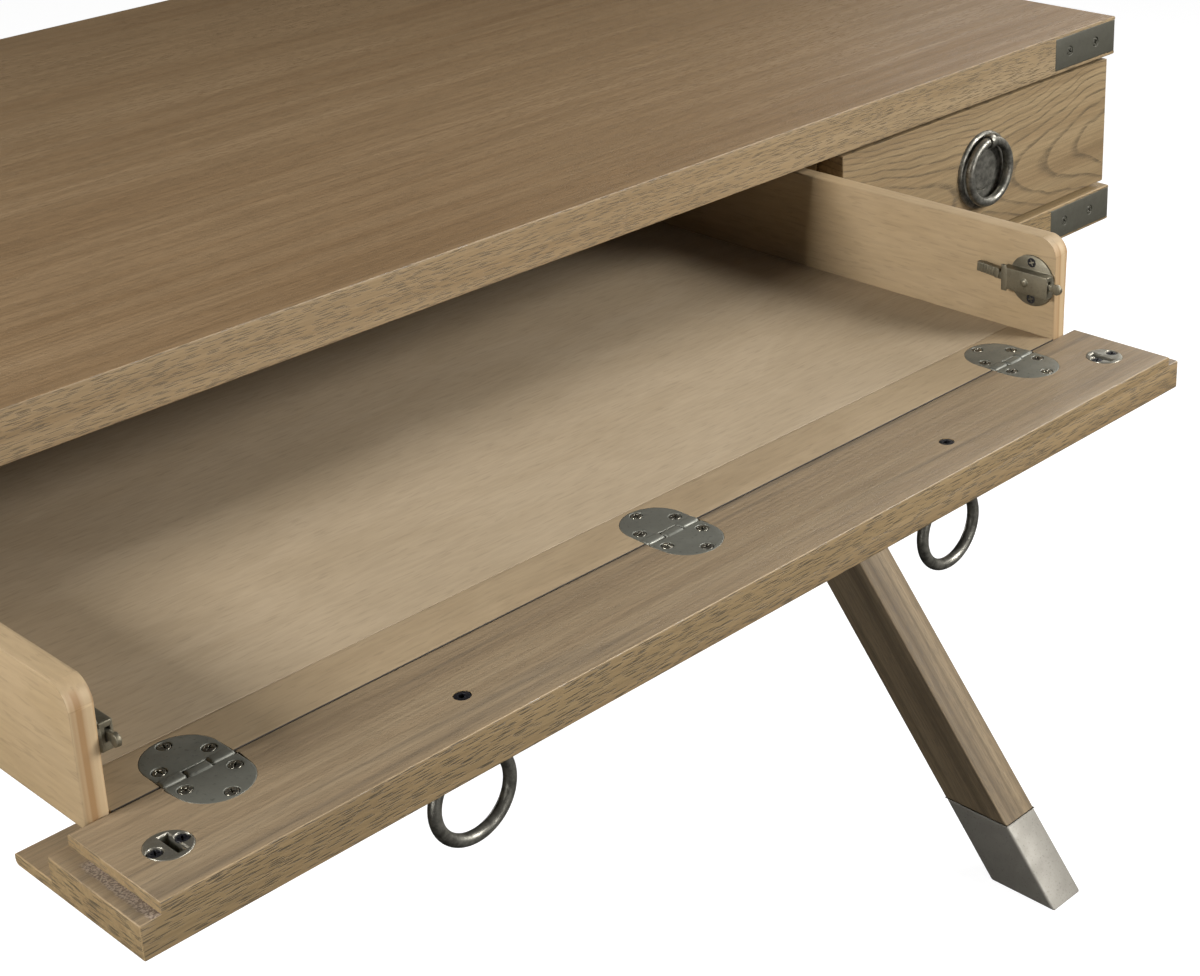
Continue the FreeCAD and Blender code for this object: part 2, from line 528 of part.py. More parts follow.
def pull(name, mid_x, mid, depth_axis, ring_out):
    """Dish, bolt and ring; mid gives the dish centre on the face as (y, z)."""
    mid_y, mid_z = mid
    down = depth_axis == "+z"

    def at(depth, rise):
        """A place at a depth behind the face and a rise towards the ring's post."""
        if down:
            return f"{mid_y} - {rise}", f"{mid_z} + {depth}"
        return f"{mid_y} + {depth}", f"{mid_z} + {rise}"

    def disc(part, radius, start, end):
        y, z = at(start, "0")
        return rod(f"{name}_{part}", radius, f"{end} - ({start})", mid_x, y, z, depth_axis)

    proud = minus("rim_high")
    floor = "(cup_deep - cup_wall)"
    rim = disc("rim", "dish_radius - rim_round", proud, "0")
    bevel_y, bevel_z = at(proud, "0")
    bevel = cone(f"{name}_bevel", "dish_radius - rim_round", "dish_radius", "rim_high",
                 mid_x, bevel_y, bevel_z, depth_axis)
    cup = disc("cup", "cup_radius", "0", "cup_deep")
    hollow = disc("hollow", "cup_radius - cup_wall", f"{proud} - overrun", floor)
    boss = disc("boss", "boss_radius", "boss_sink", "cup_deep")
    post_half = "post_width / 2"
    post_reach = "(ring_wire + ring_clear + post_wall)"
    low_y, low_z = at("cup_deep", f"(ring_radius - {post_reach})")
    high_y, high_z = at(minus(f"ring_rise + {post_reach}"), "(cup_radius - cup_wall / 2)")
    post_y = (high_y, low_y)
    post_z = (high_z, low_z) if down else (low_z, high_z)
    post = block(f"{name}_post", (f"{mid_x} - {post_half}", f"{mid_x} + {post_half}"), post_y, post_z)
    pivot_y, pivot_z = at(minus("ring_rise"), "ring_radius")
    eye = rod(f"{name}_eye", "ring_wire + ring_clear", "post_width + 2 * overrun",
              f"{mid_x} - {post_half} - overrun", pivot_y, pivot_z, "+x")
    bolt_y, bolt_z = at("front_thick", "bolt_rise")
    outward = "-z" if down else "-y"
    head = rod(f"{name}_bolt_head", "bolt_head_radius", "bolt_head_high", mid_x, bolt_y, bolt_z, outward)
    reach = f"front_thick - {floor} + bolt_bite"
    shank = rod(f"{name}_bolt_shank", "bolt_radius", reach, mid_x, bolt_y, bolt_z, outward)
    bolt = fuse(f"{name}_bolt", head, shank)
    shell = cut(f"{name}_shell", fuse(f"{name}_body", rim, bevel, cup), hollow)
    dish = cut(f"{name}_dish", fuse(f"{name}_cast", shell, boss, post), eye, bolt)
    ring = doc.addObject("Part::Torus", f"{name}_ring")
    bind(ring, "Radius1", "ring_radius")
    bind(ring, "Radius2", "ring_wire")
    if ring_out:
        place(ring, mid_x, pivot_y, f"{pivot_z} - ring_radius", "+y")
    else:
        place(ring, mid_x, pivot_y, mid_z, "+y")
    pocket = disc("pocket", "cup_radius", minus("overrun"), "cup_deep")
    return dish, bolt, ring, pocket


PULL_Y = f"({HINGE_Y} - {PULL_RISE})"
DROP_UNDER = f"({WRITE_Z} - front_thick)"
centre_dishes = []
centre_bolts = []
centre_pockets = []
for side_name, side in SIDES:
    mid_x = across(side, "(centre_width * pull_share)")
    dish, bolt, ring, pocket = pull(f"centre_pull_{side_name}", mid_x, (PULL_Y, DROP_UNDER), "+z", True)
    centre_dishes.append(dish)
    centre_bolts.append(bolt)
    centre_pockets.append(pocket)
    piece(f"centre_ring_{side_name}", ring)
piece("centre_pull_dishes", group("centre_pull_dishes", centre_dishes))
piece("centre_pull_bolts", group("centre_pull_bolts", centre_bolts))

# FOLD-DOWN FRONT: a board with rabbeted ends and a thin lip that covers the drawer's rail when shut
DROP_X = "(centre_width / 2)"
RABBET_X = "(centre_width / 2 - rabbet_width)"
DROP_END = f"({HINGE_Y} - drop_reach)"
BUTT = f"({HINGE_Y} - hinge_gap)"
LIP_TOP = f"({DROP_UNDER} + lip_thick)"
slab = block("drop_slab", both(RABBET_X), (DROP_END, BUTT), (DROP_UNDER, WRITE_Z))
flange = block("drop_flange", both(DROP_X), (DROP_END, BUTT), (DROP_UNDER, f"{WRITE_Z} - rabbet_depth"))
LIP_END = f"({HINGE_Y} + {LIP})"
EASE_Y = f"({LIP_END} - lip_ease)"
EASE_Z = f"({DROP_UNDER} + lip_ease)"
lip = block("drop_lip", both(DROP_X), (BUTT, EASE_Y), (DROP_UNDER, LIP_TOP))
lip_edge = block("drop_lip_edge", both(DROP_X), (BUTT, LIP_END), (EASE_Z, LIP_TOP))
ease = rod("drop_lip_ease", "lip_ease", "centre_width", minus(DROP_X), EASE_Y, EASE_Z, "+x")
drop_blank = fuse("drop_blank", slab, flange, lip, lip_edge, ease)
metal = front_leaves + front_screws + strikes + centre_bolts
drop_inlay = fuse("drop_inlay", *metal, *hinge_rooms, *mortises, *centre_pockets)
piece("drop_front_board", cut("drop_front_board", drop_blank, drop_inlay))

# SIDE DRAWERS: a plain box on two runner strips, with an overlay front and one ring pull
FRONT_MID_Z = f"({FRONTS_FOOT} + front_height / 2)"
FRONT_MID_X = f"(({SIDE_X} + {END_X}) / 2)"
BOX_IN = f"({PARTITION_OUT} + side_clear)"
BOX_OUT = f"({END_IN} - side_clear)"
BOX_FOOT = f"({BASE_TOP} + runner_high + run_clear)"
BOX_END = f"({BACK_IN} - box_end_gap)"
runners = []
for side_name, side in SIDES:
    name = f"{side_name}_drawer"
    mid_x = across(side, FRONT_MID_X)
    dish, bolt, ring, pocket = pull(f"{name}_pull", mid_x, (FACE_Y, FRONT_MID_Z), "+y", False)
    front_x = span(side, SIDE_X, END_X)
    front = block(f"{name}_front_blank", front_x, (FACE_Y, STOP_Y), (FRONTS_FOOT, FRONTS_TOP))
    piece(f"{name}_front", cut(f"{name}_front", front, fuse(f"{name}_front_inlay", bolt, pocket)))
    piece(f"{name}_pull_dish", dish)
    piece(f"{name}_pull_bolt", bolt)
    piece(f"{name}_ring", ring)
    inner = (BOX_IN, f"({BOX_IN} + box_wall)")
    outer = (f"({BOX_OUT} - box_wall)", BOX_OUT)
    high = (BOX_FOOT, f"({BOX_FOOT} + box_side_high)")
    walls = [block(f"{name}_wall_{index}", span(side, *wall), (STOP_Y, BOX_END), high)
             for index, wall in enumerate((inner, outer))]
    piece(f"{name}_sides", group(f"{name}_sides", walls))
    between = span(side, inner[1], outer[0])
    floor_z = (f"({BOX_FOOT} + box_floor_rise)", f"({BOX_FOOT} + box_floor_rise + box_floor)")
    piece(f"{name}_bottom", block(f"{name}_bottom", between, (STOP_Y, BOX_END), floor_z))
    piece(f"{name}_back", block(f"{name}_back", between, (f"({BOX_END} - box_wall)", BOX_END),
                                (floor_z[1], f"({high[1]} - back_drop)")))
    for index, wall in enumerate((inner, outer)):
        runners.append(block(f"{name}_runner_{index}", span(side, *wall), (CASE_FRONT, BOX_END),
                             (BASE_TOP, f"({BASE_TOP} + runner_high)")))
piece("side_runners", group("side_runners", runners))

# CHECK AND WRITE
doc.recompute()
for item in doc.Objects:
    if "Invalid" in item.State or "Error" in item.State:
        raise RuntimeError(f"{item.Label} did not build: {item.State}")
for item in pieces:
    if item.Shape.isNull() or not item.Shape.isValid() or not item.Shape.Solids:
        raise RuntimeError(f"{item.Label} has no sound shape")
os.makedirs("parts", exist_ok=True)
for item in pieces:
    item.Shape.exportStep(f"parts/{item.Label}.step")
print(len(pieces), "pieces")
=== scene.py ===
import json
import math
import bmesh
import bpy
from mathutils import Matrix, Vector


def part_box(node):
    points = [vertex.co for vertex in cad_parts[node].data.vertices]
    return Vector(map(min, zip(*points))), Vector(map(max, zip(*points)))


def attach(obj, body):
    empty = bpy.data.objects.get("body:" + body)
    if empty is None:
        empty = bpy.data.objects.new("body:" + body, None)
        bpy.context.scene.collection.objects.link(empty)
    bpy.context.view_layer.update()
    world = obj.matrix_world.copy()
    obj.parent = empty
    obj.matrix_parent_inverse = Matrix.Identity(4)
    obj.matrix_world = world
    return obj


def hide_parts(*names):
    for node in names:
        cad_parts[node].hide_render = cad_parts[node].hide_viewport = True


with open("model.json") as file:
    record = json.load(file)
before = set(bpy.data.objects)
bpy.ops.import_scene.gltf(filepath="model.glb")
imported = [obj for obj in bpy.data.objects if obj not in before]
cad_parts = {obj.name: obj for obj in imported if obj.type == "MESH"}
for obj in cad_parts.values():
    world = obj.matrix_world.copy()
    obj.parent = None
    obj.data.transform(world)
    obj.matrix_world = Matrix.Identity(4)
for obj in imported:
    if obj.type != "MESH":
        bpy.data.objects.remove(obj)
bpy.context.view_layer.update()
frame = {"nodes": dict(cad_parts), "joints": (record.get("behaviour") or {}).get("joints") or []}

# STUDIO: a white floor with far white walls, lit apart from the desk, softboxes to the left, the right
# and in front, weaker ones behind, a fill at the height of the eye, low cards near the floor, and a
# camera that looks down over the left end of the front.
FLOOR_WIDE, WALL_TALL = 40, 20
FLOOR_GREY, FLOOR_GLOW = (0.30, 0.30, 0.30, 1), 0.92
SKY_TINT, SKY_STRENGTH = (1.0, 0.94, 0.82, 1), 0.012
DRAWER_MIDDLE = Vector((0.05, -0.25, 0.68))
CAMERA_PLACE = (-0.724374, -1.138784, 1.224488)
CAMERA_TURN = (67.672016, 1.983189, -45.53497)
CAMERA_LENS, SENSOR_WIDE, SHIFT_X, SHIFT_Y = 67.01157, 36, -0.0666667, -0.1316667
bpy.ops.object.select_all(action="DESELECT")
bpy.ops.mesh.primitive_plane_add(size=FLOOR_WIDE, location=(0, 0, 0))
floor = bpy.context.object
floor.name = "studio_floor"
bpy.ops.object.mode_set(mode="EDIT")
bpy.ops.mesh.select_mode(type="EDGE")
bpy.ops.mesh.select_all(action="SELECT")
bpy.ops.mesh.extrude_edges_move(TRANSFORM_OT_translate={"value": (0, 0, WALL_TALL)})
bpy.ops.object.mode_set(mode="OBJECT")
floor_paint = bpy.data.materials.new("studio_floor")
floor_paint.use_nodes = True
floor_coat = floor_paint.node_tree.nodes["Principled BSDF"]
floor_coat.inputs["Base Color"].default_value = FLOOR_GREY
floor_coat.inputs["Roughness"].default_value = 0.9
floor_coat.inputs["Emission Color"].default_value = (1, 1, 1, 1)
floor_coat.inputs["Emission Strength"].default_value = FLOOR_GLOW
floor.data.materials.append(floor_paint)
floor.visible_diffuse = False
floor.visible_glossy = False
sky = bpy.data.worlds.new("studio_sky")
sky.use_nodes = True
sky.node_tree.nodes["Background"].inputs["Color"].default_value = SKY_TINT
sky.node_tree.nodes["Background"].inputs["Strength"].default_value = SKY_STRENGTH
bpy.context.scene.world = sky
bpy.context.scene.view_settings.view_transform = "Standard"
for name, place, size, power in (
    ("softbox_left", (-2.32, 0.07, 1.90), (0.9, 0.6), 68),
    ("softbox_front", (1.50, -2.20, 1.90), (0.9, 0.9), 78),
    ("softbox_right", (2.60, -0.30, 2.00), (1.0, 1.0), 29),
    ("softbox_behind", (2.95, 1.15, 1.80), (0.8, 0.8), 3.2),
    ("softbox_back", (-1.60, 2.90, 1.60), (1.2, 1.0), 30),
    ("fill_front", (0.20, -2.90, 1.15), (0.8, 0.6), 14),
    ("low_card_front", (-0.40, -2.90, 0.35), (1.6, 0.6), 4),
    ("low_card_left", (-2.60, -1.00, 0.50), (1.2, 0.8), 12),
    ("low_card_back", (0.30, 2.90, 0.50), (1.6, 0.6), 14),
):
    aim = (DRAWER_MIDDLE - Vector(place)).to_track_quat("-Z", "Y").to_euler()
    bpy.ops.object.light_add(type="AREA", location=place, rotation=aim)
    lamp = bpy.context.object
    lamp.name = name
    lamp.data.shape = "RECTANGLE"
    lamp.data.size, lamp.data.size_y = size
    lamp.data.energy = power
bpy.ops.object.camera_add(location=CAMERA_PLACE, rotation=[math.radians(v) for v in CAMERA_TURN])
camera = bpy.context.object
camera.data.lens = CAMERA_LENS
camera.data.sensor_width = SENSOR_WIDE
camera.data.shift_x = SHIFT_X
camera.data.shift_y = SHIFT_Y
camera.data.clip_start = 0.05
bpy.context.scene.camera = camera

# CROSSED LEGS: two half-lapped bars of solid oak at each end of the desk, brushed and greyed, with
# their arrises eased by a plane. A cleat under the lower board takes the bolts at their tops.
LEG_LEAN, LEG_EASE, CLEAT_EASE = 39.5, 0.0018, 0.0015
PORES_PER_METRE = (85, 1400, 1400)
END_PORES_PER_METRE = (1400, 85, 1400)
solids = frame["nodes"]


def add(tree, kind, joined=None, **settings):
    """A shader node with its settings, and its sockets set or joined to other nodes' outputs."""
    item = tree.nodes.new(kind)
    for key, value in settings.items():
        setattr(item, key, value)
    for key, value in (joined or {}).items():
        if isinstance(value, bpy.types.NodeSocket):
            tree.links.new(value, item.inputs[key])
        else:
            item.inputs[key].default_value = value
    return item


def ranged(tree, value, low, high, start, end):
    """A value eased from start to end while it goes from low to high."""
    return add(tree, "ShaderNodeMapRange", {0: value, 1: low, 2: high, 3: start, 4: end},
               interpolation_type="SMOOTHSTEP").outputs[0]


def sums(tree, operation, first, second=0.0):
    """One step of arithmetic on two values."""
    return add(tree, "ShaderNodeMath", {0: first, 1: second}, operation=operation).outputs[0]


def tinted(tree, share, under, over, blend="MIX"):
    """One colour laid over another by a share."""
    mix = add(tree, "ShaderNodeMix", {0: share, 6: under, 7: over}, data_type="RGBA", blend_type=blend)
    return mix.outputs[2]


def shaded(tree, colour, value):
    """A colour made lighter or darker by a value near one."""
    grey = add(tree, "ShaderNodeCombineColor", {0: value, 1: value, 2: value}).outputs[0]
    return tinted(tree, 1.0, colour, grey, "MULTIPLY")


def grain(tree, along, stretch, detail, bend=0.0):
    """Noise drawn out along the grain: stretch is how many features there are to a metre."""
    pulled = add(tree, "ShaderNodeVectorMath", {0: along, 1: stretch}, operation="MULTIPLY")
    return add(tree, "ShaderNodeTexNoise", {"Vector": pulled.outputs[0], "Scale": 1, "Detail": detail,
                                            "Roughness": 0.55, "Distortion": bend}).outputs["Fac"]


def pores_of(tree, along, stretch):
    """How far it is to the nearest open pore: stretch is how many pores there are to a metre."""
    pulled = add(tree, "ShaderNodeVectorMath", {0: along, 1: stretch}, operation="MULTIPLY")
    return add(tree, "ShaderNodeTexVoronoi", {"Vector": pulled.outputs[0], "Scale": 1}).outputs["Distance"]


def timber(name, lay, start):
    """A new material, its tree, places turned so that the grain runs along X, and normals likewise."""
    material = bpy.data.materials.new(name)
    material.use_nodes = True
    tree = material.node_tree
    spot = add(tree, "ShaderNodeTexCoord")
    lie = [math.radians(v) for v in lay]
    along = add(tree, "ShaderNodeMapping",
                {"Vector": spot.outputs["Object"], "Location": start, "Rotation": lie}).outputs[0]
    facing = add(tree, "ShaderNodeMapping", {"Vector": spot.outputs["Normal"], "Rotation": lie},
                 vector_type="VECTOR").outputs[0]
    return material, tree, spot, along, add(tree, "ShaderNodeSeparateXYZ", {0: facing})


def oak(name, lay, start, dark, mid, pale, pore, pores, gloss, shine=0.3, calm=0.35, streaks=0.0,
        arches=None, face=None, rubbed=0.45):
    """Brushed and greyed oak, lipped at its ends. Calm is the share of the open pores that is left on
    level faces, streaks darken these faces in long veins, and face tints them against the edges.
    Arches lays out a flat-sawn board's rings, and rubbed is how pale the arrises are worn."""
    material, tree, spot, along, facing = timber(name, lay, start)
    coat = tree.nodes["Principled BSDF"]
    cloud = grain(tree, along, (1.5, 7, 7), 3, 0.5)
    band = grain(tree, along, (1.7, 75, 75), 4, 0.35)
    fibre = grain(tree, along, (16, 560, 560), 3)
    end = ranged(tree, sums(tree, "ABSOLUTE", facing.outputs[0]), 0.6, 0.8, 0, 1)
    vessel = add(tree, "ShaderNodeMix", {0: end, 2: pores_of(tree, along, PORES_PER_METRE),
                                         3: pores_of(tree, along, END_PORES_PER_METRE)}).outputs[0]
    ring = sums(tree, "ADD", sums(tree, "MULTIPLY", cloud, 0.45), sums(tree, "MULTIPLY", band, 0.55))
    tone = add(tree, "ShaderNodeValToRGB", {0: ring})
    tone.color_ramp.elements[0].position = 0.36
    tone.color_ramp.elements[0].color = (*dark, 1)
    tone.color_ramp.elements[1].position = 0.66
    tone.color_ramp.elements[1].color = (*pale, 1)
    middle = tone.color_ramp.elements.new(0.5)
    middle.color = (*mid, 1)
    colour = tone.outputs[0]
    up = add(tree, "ShaderNodeSeparateXYZ", {0: spot.outputs["Normal"]}).outputs[2]
    level = ranged(tree, sums(tree, "ABSOLUTE", up), 0.6, 0.8, 0, 1)
    early = ranged(tree, band, 0.40, 0.60, 1, 0.85)
    if streaks:
        vein = ranged(tree, grain(tree, along, (2.3, 58, 58), 3, 0.9), 0.52, 0.68, 0, streaks)
        colour = tinted(tree, sums(tree, "MULTIPLY", vein, level), colour, (*pore, 1))
    if arches:
        colour, early = arches(tree, along, colour, early, (*pore, 1))
    colour = shaded(tree, colour, ranged(tree, fibre, 0.30, 0.70, 0.88, 1.10))
    brushed = sums(tree, "MULTIPLY", ranged(tree, vessel, 0.32, 0.42, 1, 0), early)
    open_pore = sums(tree, "MULTIPLY", brushed, ranged(tree, level, 0, 1, pores, pores * calm))
    colour = tinted(tree, open_pore, colour, (*pore, 1))
    # face is painted light: a tint of the level faces against the edges that stands for how the light falls
    # on them
    if face:
        colour = tinted(tree, level, colour, tinted(tree, 1.0, colour, (*face, 1), "MULTIPLY"))
    # arrises are worn pale, where the surface turns between two faces of the board
    widest = sums(tree, "ABSOLUTE", facing.outputs[0])
    for index in (1, 2):
        widest = sums(tree, "MAXIMUM", widest, sums(tree, "ABSOLUTE", facing.outputs[index]))
    worn = ranged(tree, widest, 0.80, 0.985, rubbed, 0)
    worn = sums(tree, "MULTIPLY", worn, ranged(tree, cloud, 0.35, 0.6, 0.35, 1))
    worn_pale = (min(pale[0] * 1.5, 1), min(pale[1] * 1.45, 1), pale[2] * 1.4, 1)
    colour = tinted(tree, worn, colour, worn_pale)
    height = sums(tree, "SUBTRACT", sums(tree, "MULTIPLY", fibre, 0.5), sums(tree, "MULTIPLY", brushed, 0.7))
    bump = add(tree, "ShaderNodeBump", {"Strength": 0.35, "Distance": 0.0006, "Height": height})
    tree.links.new(colour, coat.inputs["Base Color"])
    rough = ranged(tree, ring, 0.35, 0.65, gloss + 0.08, gloss - 0.06)
    rough = sums(tree, "SUBTRACT", rough, sums(tree, "MULTIPLY", brushed, 0.16))
    tree.links.new(rough, coat.inputs["Roughness"])
    tree.links.new(bump.outputs[0], coat.inputs["Normal"])
    coat.inputs["Specular IOR Level"].default_value = shine
    return material


def chosen(item):
    """Make a piece the only one that is selected, and the active one."""
    bpy.ops.object.select_all(action="DESELECT")
    bpy.context.view_layer.objects.active = item
    item.select_set(True)
    return item


def planed(node, ease, shortest=0.008, outer=False):
    """A board as it was cut, merged into one skin, with its long or only its outer arrises eased."""
    merge, flat, sharp, on_box = 0.00001, math.radians(0.5), 0.5, 0.00002
    low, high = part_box(node)
    item = bpy.data.objects.new(f"{node}_eased", solids[node].data.copy())
    bpy.context.collection.objects.link(item)
    chosen(item)
    bpy.ops.mesh.customdata_custom_splitnormals_clear()
    bpy.ops.object.mode_set(mode="EDIT")
    bpy.ops.mesh.select_mode(type="EDGE")
    bpy.ops.mesh.select_all(action="SELECT")
    bpy.ops.mesh.remove_doubles(threshold=merge)
    bpy.ops.mesh.dissolve_limited(angle_limit=flat)
    bpy.ops.mesh.select_all(action="DESELECT")
    skin = bmesh.from_edit_mesh(item.data)
    for edge in skin.edges:
        arris = edge.is_manifold and edge.calc_face_angle() > sharp
        middle = (edge.verts[0].co + edge.verts[1].co) / 2
        skins = sum(min(middle[a] - low[a], high[a] - middle[a]) < on_box for a in range(3))
        edge.select_set(arris and edge.calc_length() > shortest and (skins > 1 or not outer))
    bmesh.update_edit_mesh(item.data)
    bpy.ops.mesh.bevel(offset=ease, segments=3, affect="EDGES", clamp_overlap=False)
    bpy.ops.object.mode_set(mode="OBJECT")
    return item


def finished(item, body, slot, material, *nodes):
    """Give a piece its finish, let it move with its body and let it stand for its solids."""
    item.data.materials.clear()
    item.data.materials.append(material)
    chosen(item)
    bpy.ops.object.shade_smooth_by_angle(angle=math.radians(38))
    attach(item, body)
    if nodes:
        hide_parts(*nodes)
    return item


leg_tones = dict(dark=(0.150, 0.109, 0.065), mid=(0.284, 0.212, 0.128), pale=(0.424, 0.330, 0.213),
                 pore=(0.092, 0.074, 0.052), pores=0.45, gloss=0.56, calm=1.0)
rising_back = oak("oak_leg_rising_back", (LEG_LEAN - 90, 0, -90), (0.3, 0.1, 0.2), **leg_tones)
rising_front = oak("oak_leg_rising_front", (-LEG_LEAN - 90, 0, -90), (0.7, 0.4, 0.1), **leg_tones)
cleat_oak = oak("oak_cleat", (0, 0, -90), (0.2, 0.7, 0.3), **leg_tones)
for side in ("left", "right"):
    for node, ease, material in (
        (f"leg_front_foot_{side}", LEG_EASE, rising_back),
        (f"leg_back_foot_{side}", LEG_EASE, rising_front),
        (f"leg_cleat_{side}", CLEAT_EASE, cleat_oak),
    ):
        finished(planed(node, ease), "case", "oak", material, node)

# SHOES: a folded cap of dull pewter-coloured metal on each foot, flush with the leg's four faces.
# Its folds are rounded and rubbed a little brighter than its faces.
SHOE_FOLD = 0.0022


def pewter(name, deep, bright, rough, metal, mottle=90, rounding=0.0008):
    """Dull cast or folded metal: cloudy, speckled dark in its pits and rubbed bright at its edges."""
    material = bpy.data.materials.new(name)
    material.use_nodes = True
    tree = material.node_tree
    coat = tree.nodes["Principled BSDF"]
    spot = add(tree, "ShaderNodeTexCoord").outputs["Object"]
    cloud = add(tree, "ShaderNodeTexNoise", {"Vector": spot, "Scale": mottle, "Detail": 4,
                                             "Roughness": 0.6}).outputs["Fac"]
    speck = add(tree, "ShaderNodeTexNoise", {"Vector": spot, "Scale": mottle * 14,
                                             "Detail": 2}).outputs["Fac"]
    colour = tinted(tree, ranged(tree, cloud, 0.32, 0.68, 0, 1), (*deep, 1), (*bright, 1))
    pits = ranged(tree, speck, 0.60, 0.72, 0, 0.5)
    colour = tinted(tree, pits, colour, (deep[0] * 0.5, deep[1] * 0.5, deep[2] * 0.5, 1))
    soft = add(tree, "ShaderNodeBevel", {"Radius": rounding}, samples=4).outputs[0]
    flat = add(tree, "ShaderNodeNewGeometry").outputs["Normal"]
    same = add(tree, "ShaderNodeVectorMath", {0: soft, 1: flat}, operation="DOT_PRODUCT").outputs["Value"]
    rubbed = ranged(tree, same, 0.80, 0.98, 0.6, 0)
    colour = tinted(tree, rubbed, colour, [min(v * 1.6, 1) for v in bright] + [1])
    bump = add(tree, "ShaderNodeBump", {"Strength": 0.2, "Distance": 0.0003, "Height": speck, "Normal": soft})
    tree.links.new(colour, coat.inputs["Base Color"])
    tree.links.new(ranged(tree, cloud, 0.3, 0.7, rough + 0.08, rough - 0.06), coat.inputs["Roughness"])
    tree.links.new(bump.outputs[0], coat.inputs["Normal"])
    coat.inputs["Metallic"].default_value = metal
    return material


shoe_metal = pewter("pewter_shoe", (0.32, 0.298, 0.254), (0.375, 0.350, 0.302), 0.52, 0.3, mottle=40)
for side in ("left", "right"):
    for end in ("front", "back"):
        node = f"ferrule_{end}_{side}"
        finished(planed(node, SHOE_FOLD), "case", "pewter", shoe_metal, node)

# CASE: end panels, two partitions, a back and the lower board, all of the same greyed oak, and the
# top, its level faces given painted shade that makes them darker and greyer than its edges. The
# boards' grain runs along the desk.
PANEL_EASE, BOARD_EASE, TOP_EASE = 0.001, 0.0016, 0.0008
case_tones = dict(dark=(0.236, 0.160, 0.078), mid=(0.276, 0.192, 0.096), pale=(0.322, 0.232, 0.121),
                  pore=(0.086, 0.069, 0.046), pores=0.9, gloss=0.48)
board_oak = oak("oak_board", (0, 0, 0), (0.4, 0.2, 0.9), **case_tones)
panel_oak = oak("oak_end_panel", (0, 0, -90), (0.9, 0.1, 0.5), **case_tones)
for node in ("end_panel_left", "end_panel_right", "partition_left", "partition_right"):
    finished(planed(node, PANEL_EASE), "case", "oak", panel_oak, node)
finished(planed("back_panel", PANEL_EASE), "case", "oak", board_oak, "back_panel")
finished(planed("lower_board", BOARD_EASE, outer=True), "case", "oak", board_oak, "lower_board")
# the top's face tint is painted shade: its level faces darker and greyer than its edges
top_oak = oak("oak_desk_top", (0, 0, 0), (0.1, 0.6, 0.3), dark=(0.250, 0.172, 0.090),
              mid=(0.290, 0.208, 0.115), pale=(0.342, 0.253, 0.147), pore=(0.100, 0.078, 0.052),
              pores=0.75, gloss=0.44, shine=0.27, calm=0.27, face=(0.82, 0.755, 0.73), rubbed=0.05)
finished(planed("desk_top", TOP_EASE, outer=True), "case", "oak_top", top_oak, "desk_top")

# METAL CORNERS: a folded angle of dull pewter-coloured metal let in flush at each corner of the top
# and of the lower board, with two countersunk cross-head screws in each leg of it.
CORNER_LEG, CORNER_SKIN, CORNER_ROUND = 0.076, 0.0025, 0.0006
CORNER_SCREWS = (0.025, 0.058)
FRONT_SPIN, END_SPIN = 900, 2100
SCREW_SIDES, SCREW_SUNK = 28, 0.0003
SCREW_PROFILE = ((0.0013, -0.0026), (0.0031, -0.0005), (0.0032, -0.0002), (0.0030, 0.0001),
                 (0.0022, 0.0002), (0.0004, 0.00025))
SINK_PROFILE = ((0.0012, -0.0034), (0.0037, -0.0002), (0.0038, 0.001))
CROSS_LONG, CROSS_HALF, CROSS_DEEP, CROSS_OVERRUN = 0.0021, 0.0005, 0.0014, 0.001
TO_FRONT, TO_BACK, TO_LEFT, TO_RIGHT = (90, 0, 0), (-90, 0, 0), (0, -90, 0), (0, 90, 0)


def block(name, low, high):
    """A squared block between two corners, still to be shaped."""
    bpy.ops.object.select_all(action="DESELECT")
    bpy.ops.mesh.primitive_cube_add(size=1, location=[(a + b) / 2 for a, b in zip(low, high)])
    item = bpy.context.object
    item.name = name
    item.scale = [b - a for a, b in zip(low, high)]
    bpy.ops.object.transform_apply(location=True, rotation=True, scale=True)
    return item


def cut_away(item, *tools):
    """Cut the tools out of a piece, and put the tools away."""
    for tool in tools:
        chosen(item)
        knife = item.modifiers.new("cut", "BOOLEAN")
        knife.operation = "DIFFERENCE"
        knife.solver = "EXACT"
        knife.object = tool
        bpy.ops.object.modifier_apply(modifier=knife.name)
        bpy.data.objects.remove(tool)
    return item


def rounded(item, radius, segments=2):
    """Round off the sharp edges of a small piece."""
    chosen(item)
    edge = item.modifiers.new("edges", "BEVEL")
    edge.width = radius
    edge.segments = segments
    edge.limit_method = "ANGLE"
    bpy.ops.object.modifier_apply(modifier=edge.name)
    return item


def joined(name, items):
    """Several separate pieces of one kind as one object."""
    chosen(items[0])
    for item in items:
        item.select_set(True)
    if len(items) > 1:
        bpy.ops.object.join()
    items[0].name = name
    return items[0]


def turned(name, steps, sides=48):
    """A round piece on the Z axis, drawn out of a circle from step to step of (radius, height)."""
    bpy.ops.object.select_all(action="DESELECT")
    bpy.ops.mesh.primitive_circle_add(vertices=sides, radius=steps[0][0], fill_type="NGON",
                                      location=(0, 0, steps[0][1]))
    item = bpy.context.object
    item.name = name
    bpy.ops.object.transform_apply(location=True, rotation=True, scale=True)
    bpy.ops.object.mode_set(mode="EDIT")
    bpy.ops.mesh.select_mode(type="FACE")
    bpy.ops.mesh.select_all(action="SELECT")
    for (radius, height), (wider, higher) in zip(steps, steps[1:]):
        bpy.ops.mesh.extrude_region_move(TRANSFORM_OT_translate={"value": (0, 0, higher - height)})
        bpy.ops.transform.resize(value=(wider / radius, wider / radius, 1), center_override=(0, 0, higher))
    bpy.ops.mesh.select_all(action="SELECT")
    bpy.ops.mesh.normals_make_consistent(inside=False)
    bpy.ops.object.mode_set(mode="OBJECT")
    return item


def moved(item, place, turn=(0, 0, 0)):
    """Turn a piece about the origin, carry it to its place and settle it there."""
    chosen(item)
    item.rotation_euler = [math.radians(v) for v in turn]
    item.location = place
    bpy.ops.object.transform_apply(location=True, rotation=True, scale=True)
    return item


